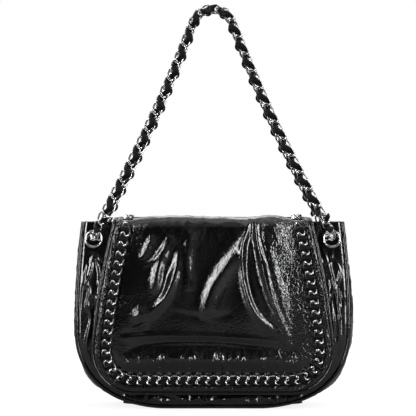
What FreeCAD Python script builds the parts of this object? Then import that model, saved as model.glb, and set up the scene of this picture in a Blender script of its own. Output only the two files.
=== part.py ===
import FreeCAD
import Part
import Sketcher
import math
import os

# Chain shoulder bag: soft body, fold over flap with chain trim, two strand chain strap.
# Millimetres. Origin on the underside of the base, X to the right, Y to the back, Z up.

doc = FreeCAD.newDocument("ChainBag")
sheet = doc.addObject("Spreadsheet::Sheet", "Sizes")
sheet.Label = "Sizes"

# Driving sizes
driving = [
    ("body_width", 300),
    ("mouth_draw", 6),
    ("waist_height", 82),
    ("base_corner", 53),
    ("base_curve", 47),
    ("base_rise", 8),
    ("body_height", 203),
    ("mouth_depth", 58),
    ("belly_depth", 88),
    ("belly_height", 92),
    ("base_depth", 80),
    ("panel_thickness", 4.6),
    ("lining_thickness", 0.8),
    ("piping_radius", 2.3),
    ("piping_lift", 0.2),
    ("seam_gap", 0.3),
    ("glue_gap", 0.1),
    ("trim_spare", 40),
    ("facing_height", 14),
    ("facing_thickness", 0.9),
    ("pocket_width", 120),
    ("pocket_height", 90),
    ("pocket_low", 70),
    ("pocket_thickness", 1.2),
    ("board_end_margin", 4),
    ("board_side_margin", 14),
    ("board_thickness", 2.5),
    ("board_corner", 8),
    ("eyelet_inset", 16.2),
    ("eyelet_drop", 19),
    ("eyelet_outer", 10.2),
    ("eyelet_hole", 7.4),
    ("eyelet_barrel", 8.2),
    ("eyelet_rise", 2),
    ("eyelet_seat", 0.15),
    ("eyelet_room", 0.3),
    ("eyelet_round", 0.8),
    ("washer_outer", 9.6),
    ("washer_thickness", 1.1),
    ("flap_top_margin", 35),
    ("flap_side_margin", 18.5),
    ("flap_wide_height", 68),
    ("flap_flat_margin", 13),
    ("flap_low", 16),
    ("flap_stand", 4.5),
    ("flap_lining", 1),
    ("flap_thickness", 3),
    ("flap_edge_radius", 1.8),
    ("border_width", 10.5),
    ("channel_width", 12),
    ("flap_lift", 1),
    ("fold_gap", 0.5),
    ("flap_top_leather", 2),
    ("top_trim_margin", 6),
    ("tab_height", 24),
    ("tab_margin", 2),
    ("tab_thickness", 1.8),
    ("snap_height", 54),
    ("socket_radius", 9),
    ("socket_rise", 2.3),
    ("socket_hole", 3.2),
    ("socket_depth", 1.6),
    ("stud_radius", 2.5),
    ("stud_length", 1.8),
    ("stud_plate_radius", 9),
    ("stud_plate_rise", 1.2),
    ("snap_backing_radius", 8),
    ("snap_backing_rise", 0.8),
    ("link_pitch", 10.4),
    ("link_half_length", 6.6),
    ("link_half_width", 4.2),
    ("link_twist", 2.2),
    ("link_wire", 1),
    ("trim_pitch", 10.7),
    ("trim_rise", 5.4),
    ("lace_radius", 1.5),
    ("lace_swing", 4.3),
    ("lace_flat", 2.6),
    ("trim_lace_radius", 1.2),
    ("trim_lace_swing", 3.8),
    ("strap_height", 439),
    ("strap_flat_length", 30),
    ("strap_bend", 22),
    ("strap_apart", 13),
    ("tail_drop_links", 2),
    ("bridge_gap", 0.15),
]
for row, (name, value) in enumerate(driving, start=1):
    sheet.set("A%d" % row, name)
    sheet.set("B%d" % row, str(value))
    sheet.setAlias("B%d" % row, name)
doc.recompute()


def size(name):
    return float(sheet.get(name))


vec = FreeCAD.Vector
half_share = 0.5
bend_share = 0.45
wall_share = 0.5
lean_share = 0.28
link_corner_count = 12
rim_count = 56
flap_rim_count = 52
turn = 2 * math.pi
volume_slack_share = 0.02


# Curves in the plane of the front
def tangent_mid(start, way, end):
    chord = end - start
    ahead = chord * (1 / chord.Length)
    middle = way + ahead
    middle = middle * (1 / middle.Length)
    return start + middle * (half_share * chord.Length / middle.dot(ahead))


def way_after(start, way, end):
    chord = end - start
    ahead = chord * (1 / chord.Length)
    return ahead * (2 * ahead.dot(way)) - way


def tangent_edge(start, way, end):
    chord = end - start
    ahead = chord * (1 / chord.Length)
    if ahead.cross(way).Length < flat_turn:
        return Part.LineSegment(start, end).toShape()
    return Part.Arc(start, tangent_mid(start, way, end), end).toShape()


flat_turn = 1e-5


def inset_nodes(nodes, inset):
    way = vec(1, 0, 0)
    out = []
    for number, point in enumerate(nodes):
        if number > 1:
            way = way_after(nodes[number - 1], way, point)
        inward = vec(-way.z, 0, way.x)
        out.append((point + inward * inset, way))
    return out


def mirrored(point):
    return vec(-point.x, point.y, point.z)


def open_outline(nodes, inset):
    moved = inset_nodes(nodes, inset)
    right = []
    left = []
    for (start, way), (end, after) in zip(moved, moved[1:]):
        edge = tangent_edge(start, way, end)
        right.append(edge)
        turned = vec(-way.x, way.y, way.z)
        left.append(tangent_edge(mirrored(start), turned, mirrored(end)))
    edges = list(reversed(left)) + right
    return Part.Wire(Part.__sortEdges__(edges)), moved


def closed_outline(nodes, inset):
    wire, moved = open_outline(nodes, inset)
    end, way = moved[-1]
    above = end + way * size("trim_spare")
    edges = list(wire.Edges)
    edges.append(Part.LineSegment(end, above).toShape())
    edges.append(Part.LineSegment(above, mirrored(above)).toShape())
    edges.append(Part.LineSegment(mirrored(above), mirrored(end)).toShape())
    return Part.Wire(Part.__sortEdges__(edges))


def front_prism(nodes, inset):
    reach = size("belly_depth") + size("trim_spare")
    wire = closed_outline(nodes, inset)
    wire.translate(vec(0, -reach, 0))
    return Part.Face(wire).extrude(vec(0, 2 * reach, 0))


mouth_width = size("body_width") - 2 * size("mouth_draw")
base_length = size("body_width") - 2 * size("base_corner")
base_flat_length = base_length - 2 * size("base_curve")
flap_top_width = mouth_width - 2 * size("flap_top_margin")
flap_wide = size("body_width") - 2 * size("flap_side_margin")
flap_flat_length = base_length - 2 * size("flap_flat_margin")

body_nodes = [
    vec(0, 0, 0),
    vec(half_share * base_flat_length, 0, 0),
    vec(half_share * base_length, 0, size("base_rise")),
    vec(half_share * size("body_width"), 0, size("waist_height")),
    vec(half_share * mouth_width, 0, size("body_height")),
]


# Half width of the body at a height, on the outermost arc of its outline
def half_width(height):
    wire = open_outline(body_nodes, 0)[0]
    level = Part.LineSegment(vec(0, 0, height), vec(body_reach, 0, height)).toShape()
    return wire.distToShape(level)[1][0][0].x


body_reach = half_share * size("body_width") + half_share * mouth_width

# Side profile: one arc for the front face, the same arc turned about for the back
def face_circle():
    top = vec(0, -half_share * size("mouth_depth"), size("body_height"))
    belly = vec(0, -half_share * size("belly_depth"), size("belly_height"))
    low = vec(0, -half_share * size("base_depth"), 0)
    circle = Part.Arc(top, belly, low).toShape().Curve
    return circle.Center, circle.Radius


face_centre, face_radius = face_circle()


def face_y(height):
    rise = height - face_centre.z
    return face_centre.y - math.sqrt(face_radius * face_radius - rise * rise)


def face_normal(height):
    outward = vec(0, face_y(height), height) - face_centre
    return outward * (1 / outward.Length)


def face_edge(shift, low, high):
    middle = half_share * (low + high)
    ends = [vec(0, face_y(z) + shift, z) for z in (low, middle, high)]
    return Part.Arc(ends[0], ends[1], ends[2]).toShape()


def strip(outer, inner, low, high, half_length):
    first = face_edge(outer, low, high)
    second = face_edge(inner, low, high)
    foot = Part.LineSegment(vec(0, face_y(low) + outer, low), vec(0, face_y(low) + inner, low)).toShape()
    head = Part.LineSegment(vec(0, face_y(high) + outer, high), vec(0, face_y(high) + inner, high)).toShape()
    wire = Part.Wire(Part.__sortEdges__([first, second, foot, head]))
    wire.translate(vec(-half_length, 0, 0))
    return Part.Face(wire).extrude(vec(2 * half_length, 0, 0))


def between(shift, low, high, half_length):
    first = face_edge(shift, low, high)
    second = first.mirror(vec(0, 0, 0), vec(0, 1, 0))
    here = face_y(low) + shift
    there = face_y(high) + shift
    foot = Part.LineSegment(vec(0, here, low), vec(0, -here, low)).toShape()
    head = Part.LineSegment(vec(0, there, high), vec(0, -there, high)).toShape()
    wire = Part.Wire(Part.__sortEdges__([first, second, foot, head]))
    wire.translate(vec(-half_length, 0, 0))
    return Part.Face(wire).extrude(vec(2 * half_length, 0, 0))


def to_back(shape):
    return shape.mirror(vec(0, 0, 0), vec(0, 1, 0))


def solid_of(shape):
    solids = shape.Solids
    return solids[0] if len(solids) == 1 else Part.makeCompound(solids)


body_top = size("body_height")
seat = size("piping_lift") + 2 * size("piping_radius") + size("seam_gap")
lining_inset = size("panel_thickness") + size("glue_gap")
lining_inner = lining_inset + size("lining_thickness")

made = []


def feature(label, shape, place=None):
    item = doc.addObject("Part::Feature", label)
    item.Label = label
    item.Shape = shape
    if place is not None:
        item.Placement = place
    made.append(item)
    return item


# Tubes on straight runs joined by arcs
def rounded_edges(points, closed=False):
    count = len(points)
    edges = []
    first = None
    last = None
    inner = range(count) if closed else range(1, count - 1)
    if not closed:
        last = points[0]
    for number in inner:
        before = points[number - 1]
        corner = points[number]
        after = points[(number + 1) % count]
        back = before - corner
        ahead = after - corner
        cut = bend_share * min(back.Length, ahead.Length)
        back = back * (1 / back.Length)
        ahead = ahead * (1 / ahead.Length)
        if back.cross(ahead).Length < flat_turn:
            continue
        start = corner + back * cut
        end = corner + ahead * cut
        half_turn = half_share * (math.pi - back.getAngle(ahead))
        radius = cut / math.tan(half_turn)
        inward = back + ahead
        inward = inward * (1 / inward.Length)
        deep = radius / math.cos(half_turn) - radius
        if last is not None:
            edges.append(Part.LineSegment(last, start).toShape())
        else:
            first = start
        edges.append(Part.Arc(start, corner + inward * deep, end).toShape())
        last = end
    edges.append(Part.LineSegment(last, first if closed else points[-1]).toShape())
    return edges


def swept(edges, radius):
    start = edges[0].valueAt(edges[0].FirstParameter)
    way = edges[0].tangentAt(edges[0].FirstParameter)
    shell = Part.BRepOffsetAPI.MakePipeShell(Part.Wire(edges))
    shell.add(Part.Wire(Part.Circle(start, way, radius).toShape()))
    shell.build()
    shell.makeSolid()
    made_shape = shell.shape()
    expected = math.pi * radius * radius * sum(edge.Length for edge in edges)
    if abs(made_shape.Volume / expected - 1) > volume_slack_share:
        raise RuntimeError("tube volume is off")
    return made_shape


def tube(points, radius, closed=False):
    edges = rounded_edges(points, closed)
    if not closed:
        return swept(edges, radius)
    middle = len(edges) // 2
    return swept(edges[:middle], radius).fuse(swept(edges[middle:], radius)).Solids[0]


# Body panels
eyelet_z = body_top - size("eyelet_drop")
eyelet_x = half_width(eyelet_z) - size("eyelet_inset")
eyelet_tilt = face_normal(eyelet_z)
eyelet_seats = {}
for side, across in (("left", -1), ("right", 1)):
    for face, along in (("front", 1), ("back", -1)):
        place = vec(across * eyelet_x, along * face_y(eyelet_z), eyelet_z)
        out = vec(0, along * eyelet_tilt.y, eyelet_tilt.z)
        eyelet_seats[side + "_" + face] = (place, out)


def punched(shape, face, radius):
    for side in ("left", "right"):
        place, out = eyelet_seats[side + "_" + face]
        reach = size("trim_spare")
        pin_start = place + out * (wall_share * half_share * reach)
        pin = Part.makeCylinder(radius, half_share * reach, pin_start, -out)
        shape = shape.cut(pin)
    return shape


body_prism = front_prism(body_nodes, seat)
panel_strip = strip(0, size("panel_thickness"), 0, body_top, body_reach)
panel = solid_of(panel_strip.common(body_prism))
hole_room = size("eyelet_barrel") + size("eyelet_room")
feature("front_panel", solid_of(punched(panel, "front", hole_room)))
feature("back_panel", solid_of(punched(to_back(panel), "back", hole_room)))

band = front_prism(body_nodes, 0).cut(front_prism(body_nodes, size("panel_thickness")))
band = band.common(between(seat, -size("trim_spare"), body_top, body_reach))
split = half_share * base_length
tall = body_top + 2 * size("trim_spare")
wide_y = 2 * size("belly_depth")


def slab(low_x, high_x):
    origin = vec(low_x, -half_share * wide_y, -size("trim_spare"))
    return Part.makeBox(high_x - low_x, wide_y, tall, origin)


feature("base_panel", solid_of(band.common(slab(-split, split))))
feature("left_gusset", solid_of(band.common(slab(-body_reach, -split - size("seam_gap")))))
feature("right_gusset", solid_of(band.common(slab(split + size("seam_gap"), body_reach))))

# Piping along the front and back seams
piping_in = size("piping_lift") + size("piping_radius")
rim = open_outline(body_nodes, piping_in)[0]
rim_points = []
for point in rim.discretize(Number=rim_count):
    rim_points.append(vec(point.x, face_y(point.z) + piping_in, point.z))
piping = tube(rim_points, size("piping_radius"))
feature("front_piping", piping)
feature("back_piping", to_back(piping))

# Lining, pocket, board and mouth facing
lining_slab = between(lining_inset, -size("trim_spare"), body_top, body_reach)
lining = front_prism(body_nodes, lining_inset).common(lining_slab)
hollow = front_prism(body_nodes, lining_inner)
hollow = hollow.common(between(lining_inner, -size("trim_spare"), body_top + size("trim_spare"), body_reach))
lining = lining.cut(hollow)
lining = punched(punched(lining, "front", hole_room), "back", hole_room)
feature("lining", solid_of(lining))
print("body done")

# Small turned and padded pieces, each a body with its own sketches
def plane_of(body, role):
    for item in body.Origin.OriginFeatures:
        if item.Role == role:
            return item
    return None


def new_body(label):
    body = doc.addObject("PartDesign::Body", label)
    body.Label = label
    made.append(body)
    return body


def ring_sketch(body, name, radii):
    sketch = body.newObject("Sketcher::SketchObject", name)
    sketch.AttachmentSupport = [(plane_of(body, "XY_Plane"), "")]
    sketch.MapMode = "FlatFace"
    for alias in radii:
        drawn = sketch.addGeometry(Part.Circle(vec(0, 0, 0), vec(0, 0, 1), size(alias.split(" ")[0])), False)
        sketch.addConstraint(Sketcher.Constraint("Coincident", drawn, 3, -1, 1))
        row = sketch.addConstraint(Sketcher.Constraint("Radius", drawn, size(alias.split(" ")[0])))
        terms = ["<<Sizes>>." + term if term[0].isalpha() else term for term in alias.split(" ")]
        sketch.setExpression("Constraints[%d]" % row, " ".join(terms))
    return sketch


def pad(body, name, sketch, length, downward=False):
    grown = body.newObject("PartDesign::Pad", name)
    grown.Profile = sketch
    grown.Length = 1
    grown.Reversed = downward
    grown.setExpression("Length", length)
    sketch.Visibility = False
    return grown


def named_sum(*names):
    return " + ".join("<<Sizes>>." + name for name in names)


def facing(place, out):
    return FreeCAD.Placement(place, FreeCAD.Rotation(vec(0, 0, 1), out))


for key, (place, out) in eyelet_seats.items():
    ring = new_body("eyelet_" + key)
    flange_sketch = ring_sketch(ring, "FlangeSketch", ["eyelet_outer", "eyelet_hole"])
    pad(ring, "Flange", flange_sketch, named_sum("eyelet_rise"))
    barrel_sketch = ring_sketch(ring, "BarrelSketch", ["eyelet_barrel", "eyelet_hole"])
    depth = named_sum("panel_thickness", "glue_gap", "lining_thickness", "eyelet_seat", "eyelet_seat",
                      "washer_thickness", "eyelet_room")
    sleeve = pad(ring, "Barrel", barrel_sketch, depth, True)
    doc.recompute()
    rims = []
    for number, edge in enumerate(ring.Shape.Edges, start=1):
        if edge.Curve.TypeId != "Part::GeomCircle":
            continue
        high = abs(edge.Curve.Center.z - size("eyelet_rise")) < flat_turn
        if high:
            rims.append("Edge%d" % number)
    soft = ring.newObject("PartDesign::Fillet", "Round")
    soft.Base = (sleeve, rims)
    soft.setExpression("Radius", "<<Sizes>>.eyelet_round")
    ring.Placement = facing(place + out * size("eyelet_seat"), out)
    washer = new_body("eyelet_washer_" + key)
    washer_radii = ["washer_outer", "eyelet_barrel + <<Sizes>>.glue_gap"]
    washer_sketch = ring_sketch(washer, "WasherSketch", washer_radii)
    pad(washer, "Washer", washer_sketch, named_sum("washer_thickness"), True)
    inward = size("panel_thickness") + size("glue_gap") + size("lining_thickness") + size("eyelet_seat")
    washer.Placement = facing(place - out * inward, out)

# Hidden snap: socket on the body, stud on the flap
snap_z = size("snap_height")
snap_out = face_normal(snap_z)
snap_place = vec(0, face_y(snap_z), snap_z)
socket = new_body("snap_socket")
pad(socket, "Disc", ring_sketch(socket, "DiscSketch", ["socket_radius"]), named_sum("socket_rise"))
well = socket.newObject("PartDesign::Pocket", "Well")
well_sketch = ring_sketch(socket, "WellSketch", ["socket_hole"])
well_sketch.setExpression("AttachmentOffset.Base.z", "<<Sizes>>.socket_rise")
well.Profile = well_sketch
well.Length = 1
well.setExpression("Length", "<<Sizes>>.socket_depth")
socket.Placement = facing(snap_place + snap_out * size("eyelet_seat"), snap_out)

backing = new_body("snap_backing")
backing_sketch = ring_sketch(backing, "BackingSketch", ["snap_backing_radius"])
pad(backing, "Disc", backing_sketch, named_sum("snap_backing_rise"), True)
backing_in = lining_inner + size("eyelet_seat")
backing.Placement = facing(snap_place - snap_out * backing_in, snap_out)

stud = new_body("snap_stud")
pad(stud, "Plate", ring_sketch(stud, "PlateSketch", ["stud_plate_radius"]), named_sum("stud_plate_rise"))
stud_sketch = ring_sketch(stud, "StudSketch", ["stud_radius"])
pad(stud, "Stud", stud_sketch, named_sum("stud_plate_rise", "stud_length"))
stud_in = size("flap_stand") - size("eyelet_seat")
stud.Placement = facing(snap_place + snap_out * stud_in, -snap_out)

# Stiffening board on the lining's floor
board = new_body("base_board")
board_sketch = board.newObject("Sketcher::SketchObject", "BoardSketch")
board_sketch.AttachmentSupport = [(plane_of(board, "XY_Plane"), "")]
board_sketch.MapMode = "FlatFace"
board_ends = "<<Sizes>>.base_corner + <<Sizes>>.base_curve + <<Sizes>>.board_end_margin"
board_rule = "<<Sizes>>.body_width - 2 * (%s)" % board_ends
board_length = base_flat_length - 2 * size("board_end_margin")
board_depth = size("base_depth") - 2 * size("board_side_margin")
corner_x = half_share * board_length
corner_y = half_share * board_depth
corners = [
    vec(-corner_x, -corner_y, 0),
    vec(corner_x, -corner_y, 0),
    vec(corner_x, corner_y, 0),
    vec(-corner_x, corner_y, 0),
]
for number in range(4):
    board_sketch.addGeometry(Part.LineSegment(corners[number], corners[(number + 1) % 4]), False)
for number in range(4):
    board_sketch.addConstraint(Sketcher.Constraint("Coincident", number, 2, (number + 1) % 4, 1))
board_sketch.addConstraint(Sketcher.Constraint("Horizontal", 0))
board_sketch.addConstraint(Sketcher.Constraint("Horizontal", 2))
board_sketch.addConstraint(Sketcher.Constraint("Vertical", 1))
board_sketch.addConstraint(Sketcher.Constraint("Symmetric", 0, 1, 1, 2, -1, 1))
row = board_sketch.addConstraint(Sketcher.Constraint("DistanceX", 0, 1, 0, 2, board_length))
board_sketch.setExpression("Constraints[%d]" % row, board_rule)
row = board_sketch.addConstraint(Sketcher.Constraint("DistanceY", 1, 1, 1, 2, board_depth))
board_sketch.setExpression("Constraints[%d]" % row, "<<Sizes>>.base_depth - 2 * <<Sizes>>.board_side_margin")
plank = pad(board, "Board", board_sketch, named_sum("board_thickness"))
doc.recompute()
uprights = []
for number, edge in enumerate(board.Shape.Edges, start=1):
    if abs(edge.tangentAt(edge.FirstParameter).z) > half_share:
        uprights.append("Edge%d" % number)
board_round = board.newObject("PartDesign::Fillet", "Corners")
board_round.Base = (plank, uprights)
board_round.setExpression("Radius", "<<Sizes>>.board_corner")
board.Placement = FreeCAD.Placement(vec(0, 0, lining_inner + size("glue_gap")), FreeCAD.Rotation())

# Slip pocket on the back lining and leather facing round the mouth
pocket_low = size("pocket_low")
pocket_high = pocket_low + size("pocket_height")
pocket_shift = lining_inner + size("glue_gap")
pocket = strip(pocket_shift, pocket_shift + size("pocket_thickness"), pocket_low, pocket_high,
               half_share * size("pocket_width"))
feature("inner_pocket", to_back(solid_of(pocket)))

facing_inset = lining_inner + size("glue_gap")
facing_low = body_top - size("facing_height")
facing_slab = between(facing_inset, facing_low, body_top, body_reach)
facing_outer = front_prism(body_nodes, facing_inset).common(facing_slab)
facing_hole = facing_inset + size("facing_thickness")
facing_inner = front_prism(body_nodes, facing_hole)
mouth_slab = between(facing_hole, -size("trim_spare"), body_top + size("trim_spare"), body_reach)
facing_inner = facing_inner.common(mouth_slab)
mouth = facing_outer.cut(facing_inner)
washer_room = size("washer_outer") + size("eyelet_room")
mouth = punched(punched(mouth, "front", washer_room), "back", washer_room)
feature("mouth_facing", solid_of(mouth))

# Flap
flap_layer = size("flap_lining") + size("glue_gap") + size("flap_thickness")
top_half = half_share * (size("flap_lining") + size("glue_gap") + size("flap_top_leather"))
hinge_z = body_top + size("flap_lift") + top_half
hinge_y = half_share * size("mouth_depth") + top_half
fold_y = face_y(body_top) - size("flap_stand") - half_share * flap_layer
flap_high = hinge_z - top_half - size("fold_gap")
flap_nodes = [
    vec(0, 0, size("flap_low")),
    vec(half_share * flap_flat_length, 0, size("flap_low")),
    vec(half_share * flap_wide, 0, size("flap_wide_height")),
    vec(half_share * flap_top_width, 0, flap_high),
]
lining_shift = -size("flap_stand")
outer_shift = lining_shift - size("flap_lining")
panel_shift = outer_shift - size("glue_gap")
skin_shift = panel_shift - size("flap_thickness")
flap_reach = half_share * flap_wide + size("trim_spare")
edge_seat = 2 * size("flap_edge_radius") + size("seam_gap")
channel_in = size("border_width") + size("channel_width")
flap_lining = strip(outer_shift, lining_shift, 0, flap_high, flap_reach)
feature("flap_lining", solid_of(flap_lining.common(front_prism(flap_nodes, 0))))
flap_strip = strip(skin_shift, panel_shift, 0, flap_high, flap_reach)
feature("flap_panel", solid_of(flap_strip.common(front_prism(flap_nodes, channel_in))))
border = front_prism(flap_nodes, edge_seat).cut(front_prism(flap_nodes, size("border_width")))
feature("flap_border", solid_of(flap_strip.common(border)))
flap_rim = open_outline(flap_nodes, size("flap_edge_radius"))[0]
edge_points = []
edge_shift = panel_shift - size("flap_edge_radius")
for point in flap_rim.discretize(Number=flap_rim_count):
    edge_points.append(vec(point.x, face_y(point.z) + edge_shift, point.z))
feature("flap_piping", tube(edge_points, size("flap_edge_radius")))

# Top of the flap: a layer with rounded ends on the hinge and fold lines
def stadium(half_length):
    low = hinge_z - top_half
    high = hinge_z + top_half
    edges = [
        Part.LineSegment(vec(0, fold_y, low), vec(0, hinge_y, low)).toShape(),
        Part.Arc(vec(0, hinge_y, low), vec(0, hinge_y + top_half, hinge_z), vec(0, hinge_y, high)).toShape(),
        Part.LineSegment(vec(0, hinge_y, high), vec(0, fold_y, high)).toShape(),
        Part.Arc(vec(0, fold_y, high), vec(0, fold_y - top_half, hinge_z), vec(0, fold_y, low)).toShape(),
    ]
    wire = Part.Wire(edges)
    wire.translate(vec(-half_length, 0, 0))
    return Part.Face(wire).extrude(vec(2 * half_length, 0, 0))


top_width = flap_top_width
split_z = hinge_z - top_half + size("flap_lining")
whole_top = stadium(half_share * top_width)
box_y = hinge_y - fold_y + 2 * size("trim_spare")
box_start = vec(-top_width, fold_y - size("trim_spare"), split_z - size("trim_spare"))
under_box = Part.makeBox(2 * top_width, box_y, size("trim_spare"), box_start)
over_start = vec(-top_width, fold_y - size("trim_spare"), split_z + size("glue_gap"))
over_box = Part.makeBox(2 * top_width, box_y, size("trim_spare"), over_start)
feature("flap_top_lining", solid_of(whole_top.common(under_box)))
top_leather = whole_top.common(over_box)
trim_inset = size("border_width") + half_share * size("channel_width")
trim_x = half_share * top_width - trim_inset
slot_start = fold_y + size("top_trim_margin")
slot_length = hinge_y - fold_y - 2 * size("top_trim_margin")
for across in (-1, 1):
    slot_low = vec(across * trim_x - half_share * size("channel_width"), slot_start, split_z)
    slot = Part.makeBox(size("channel_width"), slot_length, size("trim_spare"), slot_low)
    top_leather = top_leather.cut(slot)
feature("flap_top_panel", solid_of(top_leather))

# Sewn tab that carries the flap on the back panel
tab_low = body_top - size("tab_height")
tab_outer = -size("glue_gap") - size("tab_thickness")
tab_reach = half_share * flap_top_width - size("tab_margin")
tab = strip(tab_outer, -size("glue_gap"), tab_low, body_top, tab_reach)
feature("flap_seam_tab", to_back(solid_of(tab)))
print("flap done")

# Curb chain: twisted links of round wire, one link between each two joining points
def link_shape(half_length):
    points = []
    for number in range(link_corner_count):
        angle = turn * (number + half_share) / link_corner_count
        x = half_length * math.cos(angle)
        y = size("link_half_width") * math.sin(angle)
        z = size("link_twist") * math.sin(2 * angle)
        points.append(vec(x, y, z) * link_swell_share)
    return tube(points, size("link_wire"), True)


link_swell_share = 1.02
corner_share = 0.866


def link_place(start, end, out):
    way = end - start
    way = way * (1 / way.Length)
    side = out.cross(way)
    side = side * (1 / side.Length)
    normal = way.cross(side)
    middle = (start + end) * half_share
    grid = FreeCAD.Matrix(way.x, side.x, normal.x, middle.x, way.y, side.y, normal.y, middle.y,
                          way.z, side.z, normal.z, middle.z, 0, 0, 0, 1)
    return FreeCAD.Placement(grid)


def chain(points, outs, link):
    links = []
    for number in range(len(points) - 1):
        out = outs[number] + outs[number + 1]
        one = link.copy()
        one.Placement = link_place(points[number], points[number + 1], out)
        links.append(one)
    return Part.makeCompound(links)


def lace(points, outs, radius, swing, flat):
    route = [(points[0] + points[1]) * half_share]
    side = 1
    for number in range(1, len(points) - 1):
        way = points[number + 1] - points[number - 1]
        way = way * (1 / way.Length)
        lift = outs[number] * (side * swing)
        route.append(points[number] - way * flat + lift)
        route.append(points[number] + way * flat + lift)
        side = -side
    route.append((points[-1] + points[-2]) * half_share)
    return tube(route, radius)


def spaced(wire, pitch):
    count = int(round(wire.Length / pitch))
    return wire.discretize(Number=count + 1)


strap_link = link_shape(size("link_half_length"))
trim_link = link_shape(size("link_half_length") + half_share * (size("trim_pitch") - size("link_pitch")))

# Chain laid in the flap's channel
trim_wire = open_outline(flap_nodes, trim_inset)[0]
trim_points = []
trim_outs = []
trim_shift = outer_shift - size("trim_rise")
for point in spaced(trim_wire, size("trim_pitch")):
    trim_points.append(vec(point.x, face_y(point.z) + trim_shift, point.z))
    trim_outs.append(face_normal(point.z))
feature("flap_trim_chain", chain(trim_points, trim_outs, trim_link))
trim_lace = lace(trim_points, trim_outs, size("trim_lace_radius"), size("trim_lace_swing"), size("lace_flat"))
feature("flap_trim_lace", trim_lace)

top_trim_z = split_z + size("link_twist") + size("link_wire") + size("eyelet_room")
top_count = int((slot_length - 2 * size("link_wire")) / size("trim_pitch"))
top_start = half_share * (fold_y + hinge_y - top_count * size("trim_pitch"))
top_links = []
for across in (-1, 1):
    run = []
    for number in range(top_count + 1):
        run.append(vec(across * trim_x, top_start + number * size("trim_pitch"), top_trim_z))
    top_links.extend(chain(run, [vec(0, 0, 1)] * len(run), trim_link).Solids)
feature("flap_top_trim_chain", Part.makeCompound(top_links))

# Strap: a front and a back strand, each up one side and down the other
pitch = size("link_pitch")


def bridge_lift(out):
    room = size("eyelet_hole") - size("link_wire") - size("bridge_gap")
    reach = corner_share * link_swell_share * size("link_half_width")
    rise = corner_share * link_swell_share * size("link_twist")
    depth = size("panel_thickness") + size("glue_gap") + size("lining_thickness") + 2 * size("eyelet_seat")
    depth = depth + size("washer_thickness") + size("eyelet_room")
    return math.sqrt(room * room - reach * reach) - rise - depth * out.z


def tail_points(across, along):
    place, out = eyelet_seats[("left" if across < 0 else "right") + ("_front" if along > 0 else "_back")]
    rim_y = place.y - along * (size("eyelet_rise") + size("eyelet_room"))
    inner = vec(place.x, rim_y, place.z + bridge_lift(out))
    step = pitch * math.sqrt(half_share - half_share * lean_share * lean_share)
    outer = inner + vec(-across * pitch * lean_share, -along * step, step)
    return inner, outer


def strand(across, along):
    inner, outer = tail_points(across, along)
    apex_x = across * half_share * size("strap_flat_length")
    apex_y = -along * half_share * size("strap_apart")
    apex = vec(apex_x, apex_y, size("strap_height"))
    return inner, outer, apex


def strand_parts(along):
    inner, outer, apex = strand(1, along)
    way = apex - outer
    way = way * (1 / way.Length)
    start = outer + way * (pitch * size("tail_drop_links"))
    back = start - apex
    cross = mirrored(apex) - apex
    half_turn = half_share * (math.pi - back.getAngle(cross))
    radius = size("strap_bend")
    cut = radius * math.tan(half_turn)
    back = back * (1 / back.Length)
    cross = cross * (1 / cross.Length)
    first = apex + back * cut
    second = apex + cross * cut
    inward = back + cross
    inward = inward * (1 / inward.Length)
    middle = apex + inward * (radius / math.cos(half_turn) - radius)
    edges = [
        Part.LineSegment(mirrored(start), mirrored(first)).toShape(),
        Part.Arc(mirrored(first), mirrored(middle), mirrored(second)).toShape(),
        Part.LineSegment(mirrored(second), second).toShape(),
        Part.Arc(second, middle, first).toShape(),
        Part.LineSegment(first, start).toShape(),
    ]
    out = vec(0, 0, 0) + cross.cross(back)
    out = out * (1 / out.Length)
    if out.y * along > 0:
        out = out * -1
    return Part.Wire(edges), out, start, outer, inner


for face, along in (("front", 1), ("back", -1)):
    wire, out, start, outer, inner = strand_parts(along)
    points = spaced(wire, pitch)
    outs = [out] * len(points)
    feature("strap_%s_chain" % face, chain(points, outs, strap_link))
    strap_lace = lace(points, outs, size("lace_radius"), size("lace_swing"), size("lace_flat"))
    feature("strap_%s_lace" % face, strap_lace)
    print("strand", face, "links", len(points) - 1, "hinge", start, "out", out, "length", wire.Length)

# Chain ends through the eyelets and across the inside
for side, across in (("left", -1), ("right", 1)):
    points = []
    outs = []
    for along in (1, -1):
        wire, out, start, outer, inner = strand_parts(along)
        if across < 0:
            start = mirrored(start)
            outer = mirrored(outer)
            inner = mirrored(inner)
        run = [start, (start + outer) * half_share, outer, inner]
        hang = [out, out, out, vec(0, -along * half_share, -half_share)]
        if along > 0:
            points.extend(run)
            outs.extend(hang)
        else:
            gap = inner - points[-1]
            count = int(round(gap.Length / pitch))
            front = points[-1]
            for number in range(1, count):
                points.append(front + gap * (number / count))
                outs.append(vec(0, 0, -1))
            points.extend(reversed(run))
            outs.extend(reversed(hang))
            print("bridge", side, "inside links", count, "pitch", gap.Length / count)
    feature("%s_bridge_chain" % side, chain(points, outs, strap_link))
print("chains done")

# Every object is sound before anything is written
doc.recompute()
for item in doc.Objects:
    if "Invalid" in item.State or "Error" in item.State:
        raise RuntimeError("not sound: " + item.Label)
os.makedirs("parts", exist_ok=True)
for item in made:
    if item.Shape.isNull() or not item.Shape.isValid() or len(item.Shape.Solids) < 1:
        raise RuntimeError("shape not valid: " + item.Label)
    item.Shape.exportStep("parts/%s.step" % item.Label)
    box = item.Shape.BoundBox
    print(item.Label, len(item.Shape.Solids), round(item.Shape.Volume), [round(v, 1) for v in
          (box.XMin, box.XMax, box.YMin, box.YMax, box.ZMin, box.ZMax)])
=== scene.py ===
import math

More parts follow.
